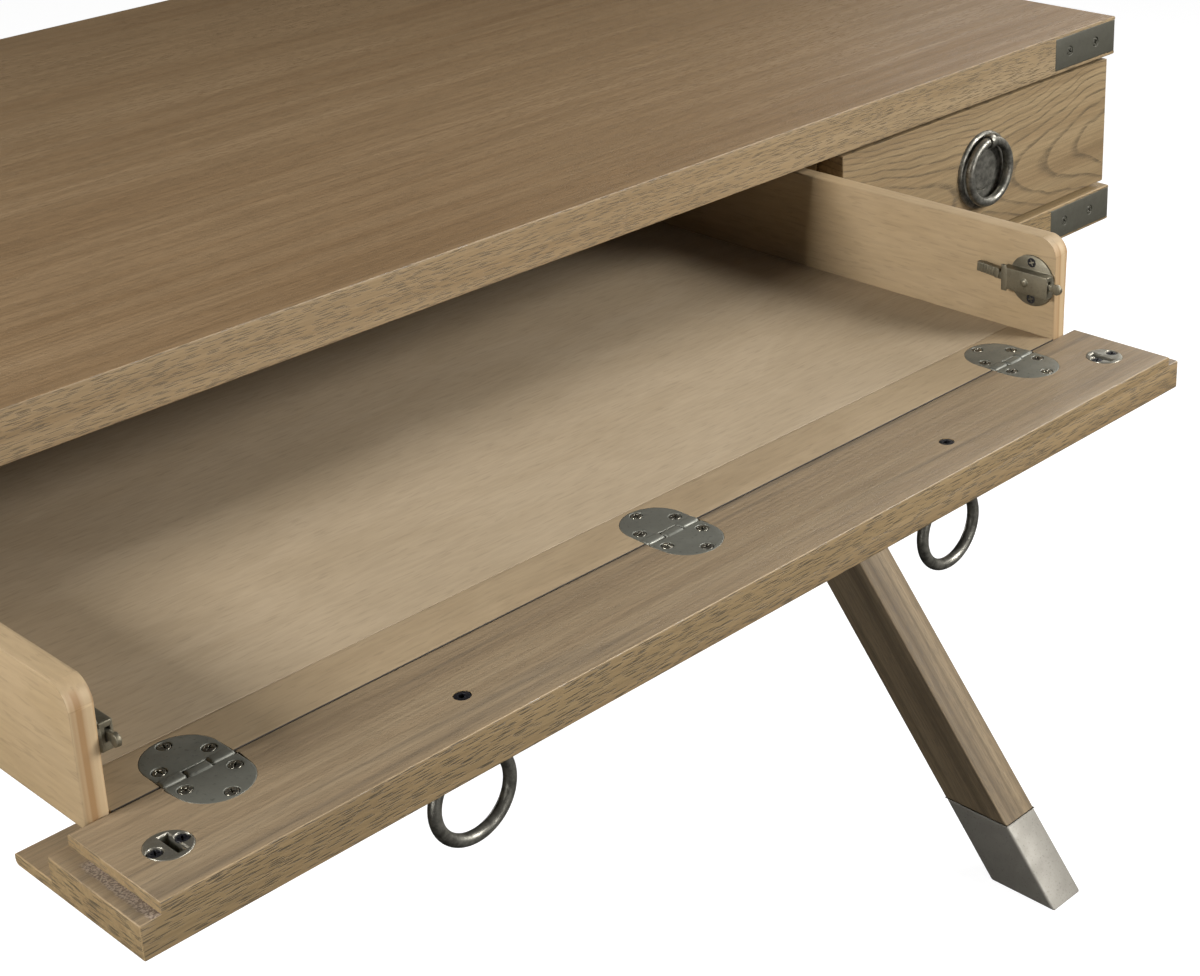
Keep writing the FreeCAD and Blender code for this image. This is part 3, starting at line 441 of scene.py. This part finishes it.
def again(item):
    """Another one of the same pattern, with its own mesh."""
    twin = item.copy()
    twin.data = item.data.copy()
    bpy.context.collection.objects.link(twin)
    return twin


def driven(pattern, place, turn=(0, 0, 0), spin=0):
    """A screw or bolt driven in at a place, its recess left at some angle."""
    return moved(moved(again(pattern), (0, 0, 0), (0, 0, spin)), place, turn)


corner_metal = pewter("pewter_corner", (0.092, 0.087, 0.066), (0.108, 0.103, 0.079), 0.50, 0.35)
screw = turned("screw_pattern", SCREW_PROFILE, SCREW_SIDES)
for x, y in ((CROSS_LONG, CROSS_HALF), (CROSS_HALF, CROSS_LONG)):
    cut_away(screw, block("cross", (-x, -y, -CROSS_DEEP), (x, y, CROSS_OVERRUN)))
sink = turned("countersink", SINK_PROFILE, SCREW_SIDES)
low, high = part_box("top_corner_brackets")
corner_half = (high[2] - low[2]) / 2
corner = block("corner_pattern", (-CORNER_LEG, 0, -corner_half), (0, CORNER_LEG, corner_half))
cut_away(corner, block("inside", (-2 * CORNER_LEG, CORNER_SKIN, -CORNER_LEG),
                       (-CORNER_SKIN, 2 * CORNER_LEG, CORNER_LEG)))
rounded(corner, CORNER_ROUND, 3)
four_screws = []
for along in CORNER_SCREWS:
    cut_away(corner, driven(sink, (-along, 0, 0), TO_FRONT), driven(sink, (0, along, 0), TO_RIGHT))
    four_screws.append(driven(screw, (-along, SCREW_SUNK, 0), TO_FRONT, FRONT_SPIN * along))
    four_screws.append(driven(screw, (-SCREW_SUNK, along, 0), TO_RIGHT, END_SPIN * along))
four_screws = joined("four_screws_pattern", four_screws)
corner_screws = []
for board in ("top", "lower"):
    low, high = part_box(f"{board}_corner_brackets")
    round_the_board = ((high[0], low[1]), (high[0], high[1]), (low[0], high[1]), (low[0], low[1]))
    angles = []
    for quarter, (x, y) in enumerate(round_the_board):
        place = (x, y, (low[2] + high[2]) / 2)
        angles.append(moved(again(corner), place, (0, 0, 90 * quarter)))
        corner_screws.append(moved(again(four_screws), place, (0, 0, 90 * quarter)))
    finished(joined(f"{board}_corner_angles", angles), "case", "pewter", corner_metal,
             f"{board}_corner_brackets")
finished(joined("corner_screws", corner_screws), "case", "pewter", corner_metal, "bracket_screws")
for pattern in (corner, four_screws):
    bpy.data.objects.remove(pattern)

# LEG BOLTS: black steel bolts with low domed heads and a six-sided socket, one through each crossing
# and two through each cleat, driven from outside.
BOLT_RADIUS, BOLT_DOME, BOLT_SPIN = 0.009, 0.0035, 1000
BOLT_PROFILE = ((0.0085, -0.001), (BOLT_RADIUS, 0.0004), (0.0086, 0.0014), (0.0072, 0.0024),
                (0.0046, 0.0032), (0.0004, BOLT_DOME))
BOLT_SOCKET = ((0.0026, 0.0012), (0.0026, 0.006))
bolt_black = pewter("black_bolt", (0.006, 0.006, 0.008), (0.018, 0.018, 0.022), 0.40, 0.3, rounding=0.0004)
dome = turned("leg_bolt_pattern", BOLT_PROFILE, 40)
cut_away(dome, turned("socket", BOLT_SOCKET, 6))
low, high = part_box("leg_bolts")
crossing = ((low[1] + high[1]) / 2, low[2] + BOLT_RADIUS)
cleat_front = (low[1] + BOLT_RADIUS, high[2] - BOLT_RADIUS)
cleat_back = (high[1] - BOLT_RADIUS, high[2] - BOLT_RADIUS)
leg_bolts = []
for x, turn in ((low[0] + BOLT_DOME, TO_LEFT), (high[0] - BOLT_DOME, TO_RIGHT)):
    for y, z in (crossing, cleat_front, cleat_back):
        leg_bolts.append(driven(dome, (x, y, z), turn, BOLT_SPIN * y))
finished(joined("leg_bolt_heads", leg_bolts), "case", "dark_bolt", bolt_black, "leg_bolts")
bpy.data.objects.remove(dome)

# RAILS AND RUNNERS: plain strips of sanded birch inside the case, glued and screwed to the
# partitions and the lower board, on which the three drawers run.
ALONG_DESK, INTO_DESK = (0, 0, 0), (0, 0, -90)
RUNNER_EASE = 0.001


def birch(name, lay, start, dark, pale):
    """Sanded birch: close-grained, clouded and nearly plain, with faint flecks and striped end grain."""
    material, tree, _, along, facing = timber(name, lay, start)
    coat = tree.nodes["Principled BSDF"]
    cloud = grain(tree, along, (9, 20, 20), 4, 0.7)
    fibre = grain(tree, along, (45, 420, 420), 2)
    fleck = grain(tree, along, (70, 620, 620), 1)
    colour = tinted(tree, ranged(tree, cloud, 0.30, 0.70, 0, 1), (*dark, 1), (*pale, 1))
    colour = shaded(tree, colour, ranged(tree, fibre, 0.30, 0.70, 0.95, 1.05))
    colour = shaded(tree, colour, ranged(tree, fleck, 0.60, 0.68, 1, 0.88))
    stripes = ranged(tree, grain(tree, along, (0, 210, 0), 1), 0.40, 0.60, 0, 1)
    end_grain = tinted(tree, stripes, (dark[0] * 0.95, dark[1] * 0.80, dark[2] * 0.68, 1),
                       (pale[0] * 1.2, pale[1] * 1.2, pale[2] * 1.2, 1))
    across = ranged(tree, sums(tree, "ABSOLUTE", facing.outputs[0]), 0.6, 0.9, 0, 1)
    colour = tinted(tree, across, colour, end_grain)
    bump = add(tree, "ShaderNodeBump", {"Strength": 0.15, "Distance": 0.0003, "Height": fibre})
    tree.links.new(colour, coat.inputs["Base Color"])
    tree.links.new(ranged(tree, cloud, 0.3, 0.7, 0.60, 0.48), coat.inputs["Roughness"])
    tree.links.new(bump.outputs[0], coat.inputs["Normal"])
    coat.inputs["Specular IOR Level"].default_value = 0.3
    return material


side_birch = birch("birch_side", INTO_DESK, (0.2, 0.2, 0.2), (0.372, 0.268, 0.148), (0.414, 0.305, 0.180))
for node in ("centre_rail_left", "centre_rail_right", "side_runners"):
    finished(planed(node, RUNNER_EASE), "case", "birch", side_birch, node)

# CENTRE DRAWER: birch sides with a rounded nose, a birch-faced bottom let into them, a back, and a
# solid rail across the front to which the hinges are screwed, all glued and sanded smooth.
DRAWER_SIDE_EASE, DRAWER_EASE = 0.0022, 0.0006
# near-black painted shade, standing for the shadow in the gap between the rail and the fold-down front
GAP_PAINTED_SHADE = (0.028, 0.020, 0.012, 1)


def joint_soiled(material):
    """Paint shade on the face that shuts against the fold-down front: a painted shadow of the gap there."""
    tree = material.node_tree
    colour = tree.nodes["Principled BSDF"].inputs["Base Color"]
    unshaded = colour.links[0].from_socket
    spot = add(tree, "ShaderNodeTexCoord")
    ahead = add(tree, "ShaderNodeSeparateXYZ", {0: spot.outputs["Normal"]}).outputs[1]
    # faces that look towards the front take the painted shade of the gap
    tree.links.new(tinted(tree, ranged(tree, ahead, -0.7, -0.3, 1, 0), unshaded, GAP_PAINTED_SHADE), colour)


floor_birch = birch("birch_bottom", ALONG_DESK, (0.6, 0.3, 0.2), (0.343, 0.265, 0.171), (0.384, 0.301, 0.201))
rail_birch = birch("birch_rail", ALONG_DESK, (0.1, 0.8, 0.5), (0.300, 0.221, 0.131), (0.352, 0.266, 0.164))
# the rail's front face gets the painted shadow of its gap
joint_soiled(rail_birch)
for node in ("drawer_side_left", "drawer_side_right"):
    finished(planed(node, DRAWER_SIDE_EASE), "centre_drawer", "birch", side_birch, node)
for node in ("drawer_back", "drawer_bottom"):
    finished(planed(node, DRAWER_EASE), "centre_drawer", "birch", floor_birch, node)
finished(planed("drawer_rail", DRAWER_EASE), "centre_drawer", "birch", rail_birch, "drawer_rail")

# FLUSH HINGES: stamped steel leaves with round ends, let in flush and screwed. Their low knuckles lie
# between each other in thirds over the joint of the drawer and its fold-down front.
pivots = {joint["name"]: joint.get("pos_m") for joint in frame["joints"]}
_, HINGE_Y, WRITE_Z = pivots["drop_front_hinge"]
LEAF_HALF, LEAF_LONG, LEAF_THICK, LEAF_GAP = 0.019, 0.031, 0.0018, 0.0033
LEAF_PROFILE = ((LEAF_HALF, -LEAF_THICK), (LEAF_HALF, -0.0003), (0.0188, 0.0), (0.0184, 0.0001))
LEAF_SCREWS = ((-0.013, 0.010), (0.013, 0.010), (0.0, 0.026))
LEAF_SCREW_SUNK, FIRST_SPIN, SPIN_STEP = 0.0001, 12, 31
KNUCKLE_HALF, KNUCKLE_PAST, KNUCKLE_REACH = 0.0062, 0.0025, 0.0040
KNUCKLE_SUNK, KNUCKLE_RISE, KNUCKLE_ROUND = 0.0024, 0.0009, 0.0016
hinge_steel = pewter("hinge_steel", (0.150, 0.148, 0.122), (0.200, 0.200, 0.168), 0.44, 0.45, mottle=30)
screw_metal = pewter("screw_steel", (0.13, 0.12, 0.10), (0.30, 0.28, 0.22), 0.30, 0.85, rounding=0.0004)


def hinge_leaf(toward, thirds):
    """Half a disc, drawn out straight towards the joint and countersunk, with its share of knuckles."""
    leaf = turned("leaf", LEAF_PROFILE, 64)
    chosen(leaf)
    bpy.ops.object.mode_set(mode="EDIT")
    bpy.ops.mesh.select_all(action="SELECT")
    bpy.ops.mesh.bisect(plane_co=(0, 0, 0), plane_no=(0, toward, 0), use_fill=True, clear_inner=True)
    straight = LEAF_LONG - LEAF_HALF - LEAF_GAP
    bpy.ops.mesh.extrude_region_move(TRANSFORM_OT_translate={"value": (0, -toward * straight, 0)})
    bpy.ops.object.mode_set(mode="OBJECT")
    moved(leaf, (0, toward * (LEAF_LONG - LEAF_HALF), 0))
    cut_away(leaf, *[driven(sink, (x, toward * y, 0)) for x, y in LEAF_SCREWS])
    pieces = [leaf]
    for third in thirds:
        middle = third * LEAF_HALF * 2 / 3
        near, far = sorted((-toward * KNUCKLE_PAST, toward * KNUCKLE_REACH))
        knuckle = block("knuckle", (middle - KNUCKLE_HALF, near, -KNUCKLE_SUNK),
                        (middle + KNUCKLE_HALF, far, KNUCKLE_RISE))
        pieces.append(rounded(knuckle, KNUCKLE_ROUND, 5))
    return joined("leaf_pattern", pieces)


low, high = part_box("rail_hinge_leaves")
drawer_screws = []
front_screws = []
for piece, body, toward, thirds, screws, nodes in (
    ("rail_leaves", "centre_drawer", 1, (-1, 1), drawer_screws, ("rail_hinge_leaves", "hinge_pins")),
    ("front_leaves", "drop_front", -1, (0,), front_screws, ("front_hinge_leaves",)),
):
    pattern = hinge_leaf(toward, thirds)
    leaves = []
    for x in (low[0] + LEAF_HALF, 0.0, high[0] - LEAF_HALF):
        leaves.append(moved(again(pattern), (x, HINGE_Y, WRITE_Z)))
        for aside, back in LEAF_SCREWS:
            place = (x + aside, HINGE_Y + toward * back, WRITE_Z - LEAF_SCREW_SUNK)
            screws.append(driven(screw, place, spin=SPIN_STEP * len(screws) + FIRST_SPIN))
    finished(joined(piece, leaves), body, "hinge_steel", hinge_steel, *nodes)
    bpy.data.objects.remove(pattern)

# SPRING CATCHES: a round plate screwed to each drawer side, a folded cover riveted to it, and a
# sprung lever between them with a curled hook in front and a fluted thumb tab behind.
LEVER_X, PIVOT_Y, CATCH_Z = pivots["catch_lever_right_pivot"]
PLATE_RADIUS, PLATE_THICK = 0.0165, 0.0014
PLATE_SCREWS, PLATE_SCREW_PROUD, PLATE_SCREW_SPIN = 0.012, 0.0001, 20
PLATE_PROFILE = ((PLATE_RADIUS, -PLATE_THICK), (PLATE_RADIUS, -0.0003), (0.0161, 0.0))
COVER_RISE, COVER_HALF, COVER_REACH, COVER_FOOT, COVER_ROUND = 0.0060, 0.007, 0.017, 0.0005, 0.0007
SLOT_OVERRUN, SLOTS_LAP = 0.03, 0.001
HOOK_SLOT_HALF, HOOK_SLOT_DROP, HOOK_SLOT_RISE = 0.0014, 0.0026, 0.0042
TAB_SLOT_HALF, TAB_SLOT_DROP, TAB_SLOT_RISE = 0.0016, 0.0045, 0.0030
FLARE_PROUD, FLARE_DEEP, FLARE_NEAR, FLARE_FAR = 0.0002, 0.0011, 0.0135, 0.0176
FLARE_WIDER, FLARE_ROUND = 0.0016, 0.0005
RIVET_PROFILE = ((0.0026, -0.0005), (0.0026, 0.0002), (0.0021, 0.0008), (0.0008, 0.0011))
ARM_HALF, ARM_TALL, ARM_FRONT, ARM_BACK, ARM_ROUND = 0.0010, 0.0024, 0.0222, 0.024, 0.0004
HOOK_RADIUS, HOOK_HALF, HOOK_REACH, HOOK_RISE = 0.0033, 0.0012, 0.0226, 0.0002
THROAT_RADIUS, THROAT_LONG, THROAT_REACH, THROAT_DROP = 0.0016, 0.01, 0.0194, 0.0028
TAB_FACE, TAB_INNER, TAB_NEAR, TAB_FAR, TAB_TALL = 0.0019, 0.0017, 0.020, 0.0368, 0.0031
TAB_ROUND, TAB_TILT = 0.0005, (4, 0, 0)
FLUTES, FLUTE_RADIUS, FLUTE_LONG, FLUTE_X, FLUTE_NEAR, FLUTE_STEP = 6, 0.0006, 0.01, -0.0021, 0.0240, 0.0021
low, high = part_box("catch_plates")
PLATE_X, PLATE_Y = high[0] - PLATE_THICK, (low[1] + high[1]) / 2
COVER_X = PLATE_X - COVER_RISE
catch_metal = pewter("catch_metal", (0.150, 0.132, 0.090), (0.225, 0.205, 0.150), 0.42, 0.7, mottle=70)


def mirrored(item):
    """The same piece for the left side: a copy turned over about the middle of the desk."""
    twin = chosen(again(item))
    twin.scale = (-1, 1, 1)
    bpy.ops.object.transform_apply(location=True, rotation=True, scale=True)
    bpy.ops.object.mode_set(mode="EDIT")
    bpy.ops.mesh.select_all(action="SELECT")
    bpy.ops.mesh.normals_make_consistent(inside=False)
    bpy.ops.object.mode_set(mode="OBJECT")
    return twin


plate = moved(turned("plate", PLATE_PROFILE, 56), (PLATE_X, PLATE_Y, CATCH_Z), TO_LEFT)
cover = block("cover", (COVER_X, PIVOT_Y - COVER_REACH, CATCH_Z - COVER_HALF),
              (PLATE_X + COVER_FOOT, PIVOT_Y + COVER_REACH, CATCH_Z + COVER_HALF))
# the slots at its ends leave room for the hook to rise and the tab to fall
hook_slot = block("hook_slot", (LEVER_X - HOOK_SLOT_HALF, PIVOT_Y - SLOT_OVERRUN, CATCH_Z - HOOK_SLOT_DROP),
                  (LEVER_X + HOOK_SLOT_HALF, PIVOT_Y, CATCH_Z + HOOK_SLOT_RISE))
tab_slot = block("tab_slot", (LEVER_X - TAB_SLOT_HALF, PIVOT_Y - SLOTS_LAP, CATCH_Z - TAB_SLOT_DROP),
                 (LEVER_X + TAB_SLOT_HALF, PIVOT_Y + SLOT_OVERRUN, CATCH_Z + TAB_SLOT_RISE))
rounded(cut_away(cover, hook_slot, tab_slot), COVER_ROUND, 3)
flare_half = COVER_HALF + FLARE_WIDER
flare = block("flare", (COVER_X - FLARE_PROUD, PIVOT_Y + FLARE_NEAR, CATCH_Z - flare_half),
              (COVER_X + FLARE_DEEP, PIVOT_Y + FLARE_FAR, CATCH_Z + flare_half))
rounded(flare, FLARE_ROUND)
rivet = moved(turned("rivet", RIVET_PROFILE, 28), (COVER_X, PIVOT_Y, CATCH_Z), TO_LEFT)
catch = joined("catch_right", [plate, cover, flare, rivet])
arm = block("arm", (LEVER_X - ARM_HALF, PIVOT_Y - ARM_FRONT, CATCH_Z - ARM_TALL),
            (LEVER_X + ARM_HALF, PIVOT_Y + ARM_BACK, CATCH_Z + ARM_TALL))
hook = turned("hook", ((HOOK_RADIUS, -HOOK_HALF), (HOOK_RADIUS, HOOK_HALF)), 36)
moved(hook, (LEVER_X, PIVOT_Y - HOOK_REACH, CATCH_Z + HOOK_RISE), TO_LEFT)
throat = turned("throat", ((THROAT_RADIUS, -THROAT_LONG), (THROAT_RADIUS, THROAT_LONG)), 24)
moved(throat, (LEVER_X, PIVOT_Y - THROAT_REACH, CATCH_Z - THROAT_DROP), TO_LEFT)
cut_away(arm, again(throat))
cut_away(hook, throat)
tab = block("tab", (-TAB_FACE, TAB_NEAR, -TAB_TALL), (TAB_INNER, TAB_FAR, TAB_TALL))
for step in range(FLUTES):
    flute = turned("flute", ((FLUTE_RADIUS, -FLUTE_LONG), (FLUTE_RADIUS, FLUTE_LONG)), 16)
    cut_away(tab, moved(flute, (FLUTE_X, FLUTE_NEAR + step * FLUTE_STEP, 0)))
moved(rounded(tab, TAB_ROUND), (LEVER_X, PIVOT_Y, CATCH_Z), TAB_TILT)
lever = joined("lever_right", [rounded(arm, ARM_ROUND), rounded(hook, ARM_ROUND), tab])
catch_screws = []
for rise in (-PLATE_SCREWS, PLATE_SCREWS):
    place = (PLATE_X - PLATE_SCREW_PROUD, PLATE_Y, CATCH_Z + rise)
    catch_screws.append(driven(screw, place, TO_LEFT, PLATE_SCREW_SPIN))
catch_screws = joined("catch_screws_right", catch_screws)
for right, body, name, material, nodes in (
    (catch, "centre_drawer", "catch_{}", catch_metal, ("catch_plates", "catch_covers")),
    (lever, "catch_lever_{}", "lever_{}", catch_metal, ("catch_lever_{}",)),
    (catch_screws, "centre_drawer", "catch_screws_{}", bolt_black, ("drawer_screws",)),
):
    for side, item in (("left", mirrored(right)), ("right", right)):
        item.name = name.format(side)
        finished(item, body.format(side), "hinge_steel", material, *[node.format(side) for node in nodes])
finished(joined("rail_screw_heads", drawer_screws), "centre_drawer", "hinge_steel", screw_metal,
         "drawer_screws")

# FOLD-DOWN FRONT: a solid oak board with rabbeted ends and a thin lip at its foot. Its inner face is
# planed smooth, its edges are brushed, and the floor of each rabbet is left torn by the cutter.
FRONT_EASE = 0.0009
RABBET_WIDE, RABBET_BACK, RABBET_DEEP = 0.0105, 0.014738, 0.0055
low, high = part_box("drop_front_board")
# the front's face tint is a painted sheen: its level faces cooler and bluer than its edges
front_oak = oak("oak_front", ALONG_DESK, (0.8, 0.3, 0.6), shine=0.5, calm=0.12, streaks=0.45,
                face=(0.94, 0.99, 1.19), **case_tones)


def torn(material, inner, back, level):
    """Lay torn grain over a finish, in pale and dark specks, along the rabbet's step and up to its back."""
    tree = material.node_tree
    colour = tree.nodes["Principled BSDF"].inputs["Base Color"]
    smooth = colour.links[0].from_socket
    spot = add(tree, "ShaderNodeTexCoord")
    place = add(tree, "ShaderNodeSeparateXYZ", {0: spot.outputs["Object"]})
    up = add(tree, "ShaderNodeSeparateXYZ", {0: spot.outputs["Normal"]}).outputs[2]
    ragged = sums(tree, "MULTIPLY", grain(tree, spot.outputs["Object"], (260, 260, 260), 2), 0.004)
    reach = sums(tree, "ADD", sums(tree, "ABSOLUTE", place.outputs[0]), ragged)
    share = sums(tree, "MULTIPLY", ranged(tree, reach, inner + 0.0060, inner + 0.0080, 1, 0),
                 ranged(tree, place.outputs[2], level, level + 0.0004, 1, 0))
    share = sums(tree, "MULTIPLY", share, ranged(tree, up, 0.8, 0.95, 0, 1))
    share = sums(tree, "MULTIPLY", share, ranged(tree, place.outputs[1], back - 0.004, back + 0.002, 1, 0))
    specks = ranged(tree, grain(tree, spot.outputs["Object"], (950, 950, 950), 2), 0.40, 0.60, 0, 1)
    rough = tinted(tree, specks, (0.150, 0.112, 0.082, 1), (0.350, 0.280, 0.215, 1))
    tree.links.new(tinted(tree, share, smooth, rough), colour)


torn(front_oak, high[0] - RABBET_WIDE, HINGE_Y - RABBET_BACK, WRITE_Z - RABBET_DEEP)
finished(planed("drop_front_board", FRONT_EASE), "drop_front", "oak", front_oak, "drop_front_board")

# STRIKE PLATES: nickelled discs let into the ends of the front, each with a slot for the hook, a thin
# folded lining below the slot and two black screws.
STRIKE_RADIUS = 0.011
STRIKE_SCREW_X, STRIKE_SCREW_Y, STRIKE_SCREW_SUNK, STRIKE_SCREW_SPIN = 0.007, 0.0005, 0.0003, 25
STRIKE_PROFILE = ((STRIKE_RADIUS, -0.0016), (STRIKE_RADIUS, -0.0002), (0.0107, 0.0002), (0.0103, 0.0003))
SLOT_HALF, SLOT_REACH, STRIKE_OVERRUN = 0.0027, 0.008, 0.01
LINING_GAP, LINING, LINING_TOP, LINING_FOOT, LINING_HOLLOW = 0.0001, 0.0003, 0.0002, 0.0095, 0.0090
nickel = pewter("nickel_strike", (0.30, 0.28, 0.225), (0.42, 0.40, 0.335), 0.36, 0.85, mottle=120)
low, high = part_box("strike_plates")
strike_x, strike_y = high[0] - STRIKE_RADIUS, (low[1] + high[1]) / 2


def slot_block(name, shrink, bottom, top):
    """A block as large as the hook's slot, less shrink all round, from bottom to top about the face."""
    return block(name, (LEVER_X - SLOT_HALF + shrink, strike_y - SLOT_REACH + shrink, WRITE_Z + bottom),
                 (LEVER_X + SLOT_HALF - shrink, strike_y + SLOT_REACH - shrink, WRITE_Z + top))


strike = moved(turned("strike", STRIKE_PROFILE, 56), (strike_x, strike_y, WRITE_Z))
cut_away(strike, slot_block("slot", 0, -STRIKE_OVERRUN, STRIKE_OVERRUN))
strike_ends = []
for end in (-1, 1):
    strike_ends.append((strike_x + end * STRIKE_SCREW_X, strike_y - end * STRIKE_SCREW_Y,
                        WRITE_Z - STRIKE_SCREW_SUNK))
cut_away(strike, *[driven(sink, place) for place in strike_ends])
lining = slot_block("lining", LINING_GAP, -LINING_FOOT, -LINING_TOP)
cut_away(lining, slot_block("hollow", LINING, -LINING_HOLLOW, STRIKE_OVERRUN))
strike = joined("strike_right", [strike, lining])
strike_screws = [driven(screw, place, spin=STRIKE_SCREW_SPIN) for place in strike_ends]
strike_screws = joined("strike_screws_right", strike_screws)
finished(joined("strike_discs", [strike, mirrored(strike)]), "drop_front", "nickel", nickel, "strike_plates")
finished(joined("strike_screw_heads", [strike_screws, mirrored(strike_screws)]), "drop_front", "dark_bolt",
         bolt_black)
finished(joined("front_screw_heads", front_screws), "drop_front", "hinge_steel", screw_metal, "front_screws")
for pattern in (screw, sink):
    bpy.data.objects.remove(pattern)

# RING PULLS: a cast dish with a rounded rim, a groove and a raised boss, a strap at its top and a ring
# that swings in the strap, all antiqued and rubbed. A black bolt from inside holds each strap.
RING_RADIUS, RING_RISE = 0.023, 0.0065
FACE_DOWN = (180, 0, 0)
DISH_PROFILE = ((0.0292, 0.0), (0.0290, 0.0011), (0.0283, 0.0020), (0.0272, 0.0026), (0.0262, 0.0024),
                (0.0254, 0.0014), (0.0250, -0.0010), (0.0247, -0.0072), (0.0235, -0.0082),
                (0.0172, -0.0082), (0.0160, -0.0075), (0.0156, -0.0010), (0.0152, 0.0006),
                (0.0143, 0.0011), (0.0130, 0.0009), (0.0115, 0.0008), (0.0060, 0.0015), (0.0005, 0.0017))
STRAP_RADIUS, STRAP_HALF, STRAP_ROUND = 0.0051, 0.0026, 0.0005
NECK_BELOW, NECK_ABOVE, NECK_FOOT = 0.0042, 0.0018, 0.0080
EYE_RADIUS, EYE_LONG = 0.0037, 0.02
PULL_BOLT_PROFILE = ((0.0045, -0.0024), (0.0045, -0.0007), (0.0041, -0.0003), (0.0030, -0.0002))
PULL_BOLT_SOCKET = ((0.0023, -0.002), (0.0023, 0.004))
PULL_BOLT_SPIN = 10
cast = pewter("antique_pull", (0.110, 0.104, 0.086), (0.300, 0.286, 0.243), 0.38, 0.7, mottle=200)
pull = turned("pull_pattern", DISH_PROFILE, 72)
strap = turned("strap", ((STRAP_RADIUS, -STRAP_HALF), (STRAP_RADIUS, STRAP_HALF)), 40)
moved(strap, (0, RING_RADIUS, RING_RISE), TO_RIGHT)
neck = block("neck", (-STRAP_HALF, RING_RADIUS - NECK_BELOW, -NECK_FOOT),
             (STRAP_HALF, RING_RADIUS + NECK_ABOVE, RING_RISE))
eye = turned("eye", ((EYE_RADIUS, -EYE_LONG), (EYE_RADIUS, EYE_LONG)), 32)
moved(eye, (0, RING_RADIUS, RING_RISE), TO_RIGHT)
cut_away(strap, again(eye))
cut_away(neck, eye)
pull = joined("pull_pattern", [pull, rounded(strap, STRAP_ROUND), rounded(neck, STRAP_ROUND)])
head = turned("pull_bolt_pattern", PULL_BOLT_PROFILE, 36)
cut_away(head, turned("socket", PULL_BOLT_SOCKET, 6))
low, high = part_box("centre_pull_bolts")
dishes = []
heads = []
for side in ("left", "right"):
    x, y, z = pivots[f"centre_ring_{side}_pivot"]
    dishes.append(moved(again(pull), (x, y + RING_RADIUS, z + RING_RISE), FACE_DOWN))
    heads.append(driven(head, (x, (low[1] + high[1]) / 2, high[2]), spin=PULL_BOLT_SPIN))
    solids[f"centre_ring_{side}"].data.materials[0] = cast
    solids[f"{side}_drawer_ring"].data.materials[0] = cast
finished(joined("centre_dishes", dishes), "drop_front", "antique_metal", cast, "centre_pull_dishes")
finished(joined("centre_bolts", heads), "drop_front", "dark_bolt", bolt_black, "centre_pull_bolts")

# SIDE DRAWERS: a flat-sawn oak front with arched grain and one ring pull, and a plain birch box behind
# it, nailed and glued. The left drawer is the twin of the right one.
DRAWER_FRONT_EASE, DRAWER_BOX_EASE = 0.0014, 0.001
RINGS_PER_METRE, ARCH_RUN, ARCH_CURVE, ARCH_DROP = 82.0, 0.30, 24.0, 0.014


def flat_sawn(tree, along, colour, early, pore):
    """Growth rings of a flat-sawn board that arch away from its middle, broken where the pores crowd."""
    warp = add(tree, "ShaderNodeTexNoise", {"Vector": along, "Scale": 9, "Detail": 3, "Roughness": 0.5})
    spread = add(tree, "ShaderNodeVectorMath", {0: warp.outputs["Color"], 1: (0.5, 0.5, 0.5)},
                 operation="SUBTRACT").outputs[0]
    shifted = add(tree, "ShaderNodeVectorMath", {0: spread, 1: (0.05, 0.05, 0.026)}, operation="MULTIPLY")
    bent = add(tree, "ShaderNodeVectorMath", {0: along, 1: shifted.outputs[0]}, operation="ADD").outputs[0]
    axes = add(tree, "ShaderNodeSeparateXYZ", {0: bent})
    run = sums(tree, "ABSOLUTE", axes.outputs[0])
    rise = sums(tree, "ADD", axes.outputs[2], ARCH_DROP)
    arch = sums(tree, "SUBTRACT", sums(tree, "MULTIPLY", run, ARCH_RUN),
                sums(tree, "MULTIPLY", sums(tree, "MULTIPLY", rise, rise), ARCH_CURVE))
    wave = sums(tree, "FRACT", sums(tree, "MULTIPLY", arch, RINGS_PER_METRE))
    line = sums(tree, "MULTIPLY", ranged(tree, wave, 0.62, 0.90, 0, 1), ranged(tree, wave, 0.92, 1.0, 1, 0))
    specks = grain(tree, along, (60, 500, 500), 2)
    share = sums(tree, "MULTIPLY", line, ranged(tree, specks, 0.35, 0.6, 0.28, 0.68))
    return tinted(tree, share, colour, pore), sums(tree, "MAXIMUM", line, sums(tree, "MULTIPLY", early, 0.3))


drawer_tones = dict(dark=(0.228, 0.155, 0.080), mid=(0.282, 0.200, 0.107), pale=(0.338, 0.250, 0.140),
                    pore=(0.110, 0.082, 0.050), pores=0.5, gloss=0.48)
for side in ("left", "right"):
    body = f"{side}_drawer"
    x, y, z = pivots[f"{side}_ring_pivot"]
    middle_z = z - RING_RADIUS
    arched_oak = oak(f"oak_{side}_drawer_front", ALONG_DESK, (-x, 0.3, -middle_z), arches=flat_sawn,
                     **drawer_tones)
    finished(planed(f"{body}_front", DRAWER_FRONT_EASE), body, "oak", arched_oak, f"{body}_front")
    for part in ("sides", "bottom", "back"):
        node = f"{body}_{part}"
        finished(planed(node, DRAWER_BOX_EASE), body, "birch", side_birch, node)
    dish = moved(again(pull), (x, y + RING_RISE, middle_z), TO_FRONT)
    finished(dish, body, "antique_metal", cast, f"{body}_pull_dish")
    dish.name = f"{side}_dish"
    low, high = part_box(f"{body}_pull_bolt")
    bolt = driven(head, (x, high[1], (low[2] + high[2]) / 2), TO_BACK)
    finished(bolt, body, "dark_bolt", bolt_black, f"{body}_pull_bolt")
    bolt.name = f"{side}_bolt"
for pattern in (pull, head):
    bpy.data.objects.remove(pattern)
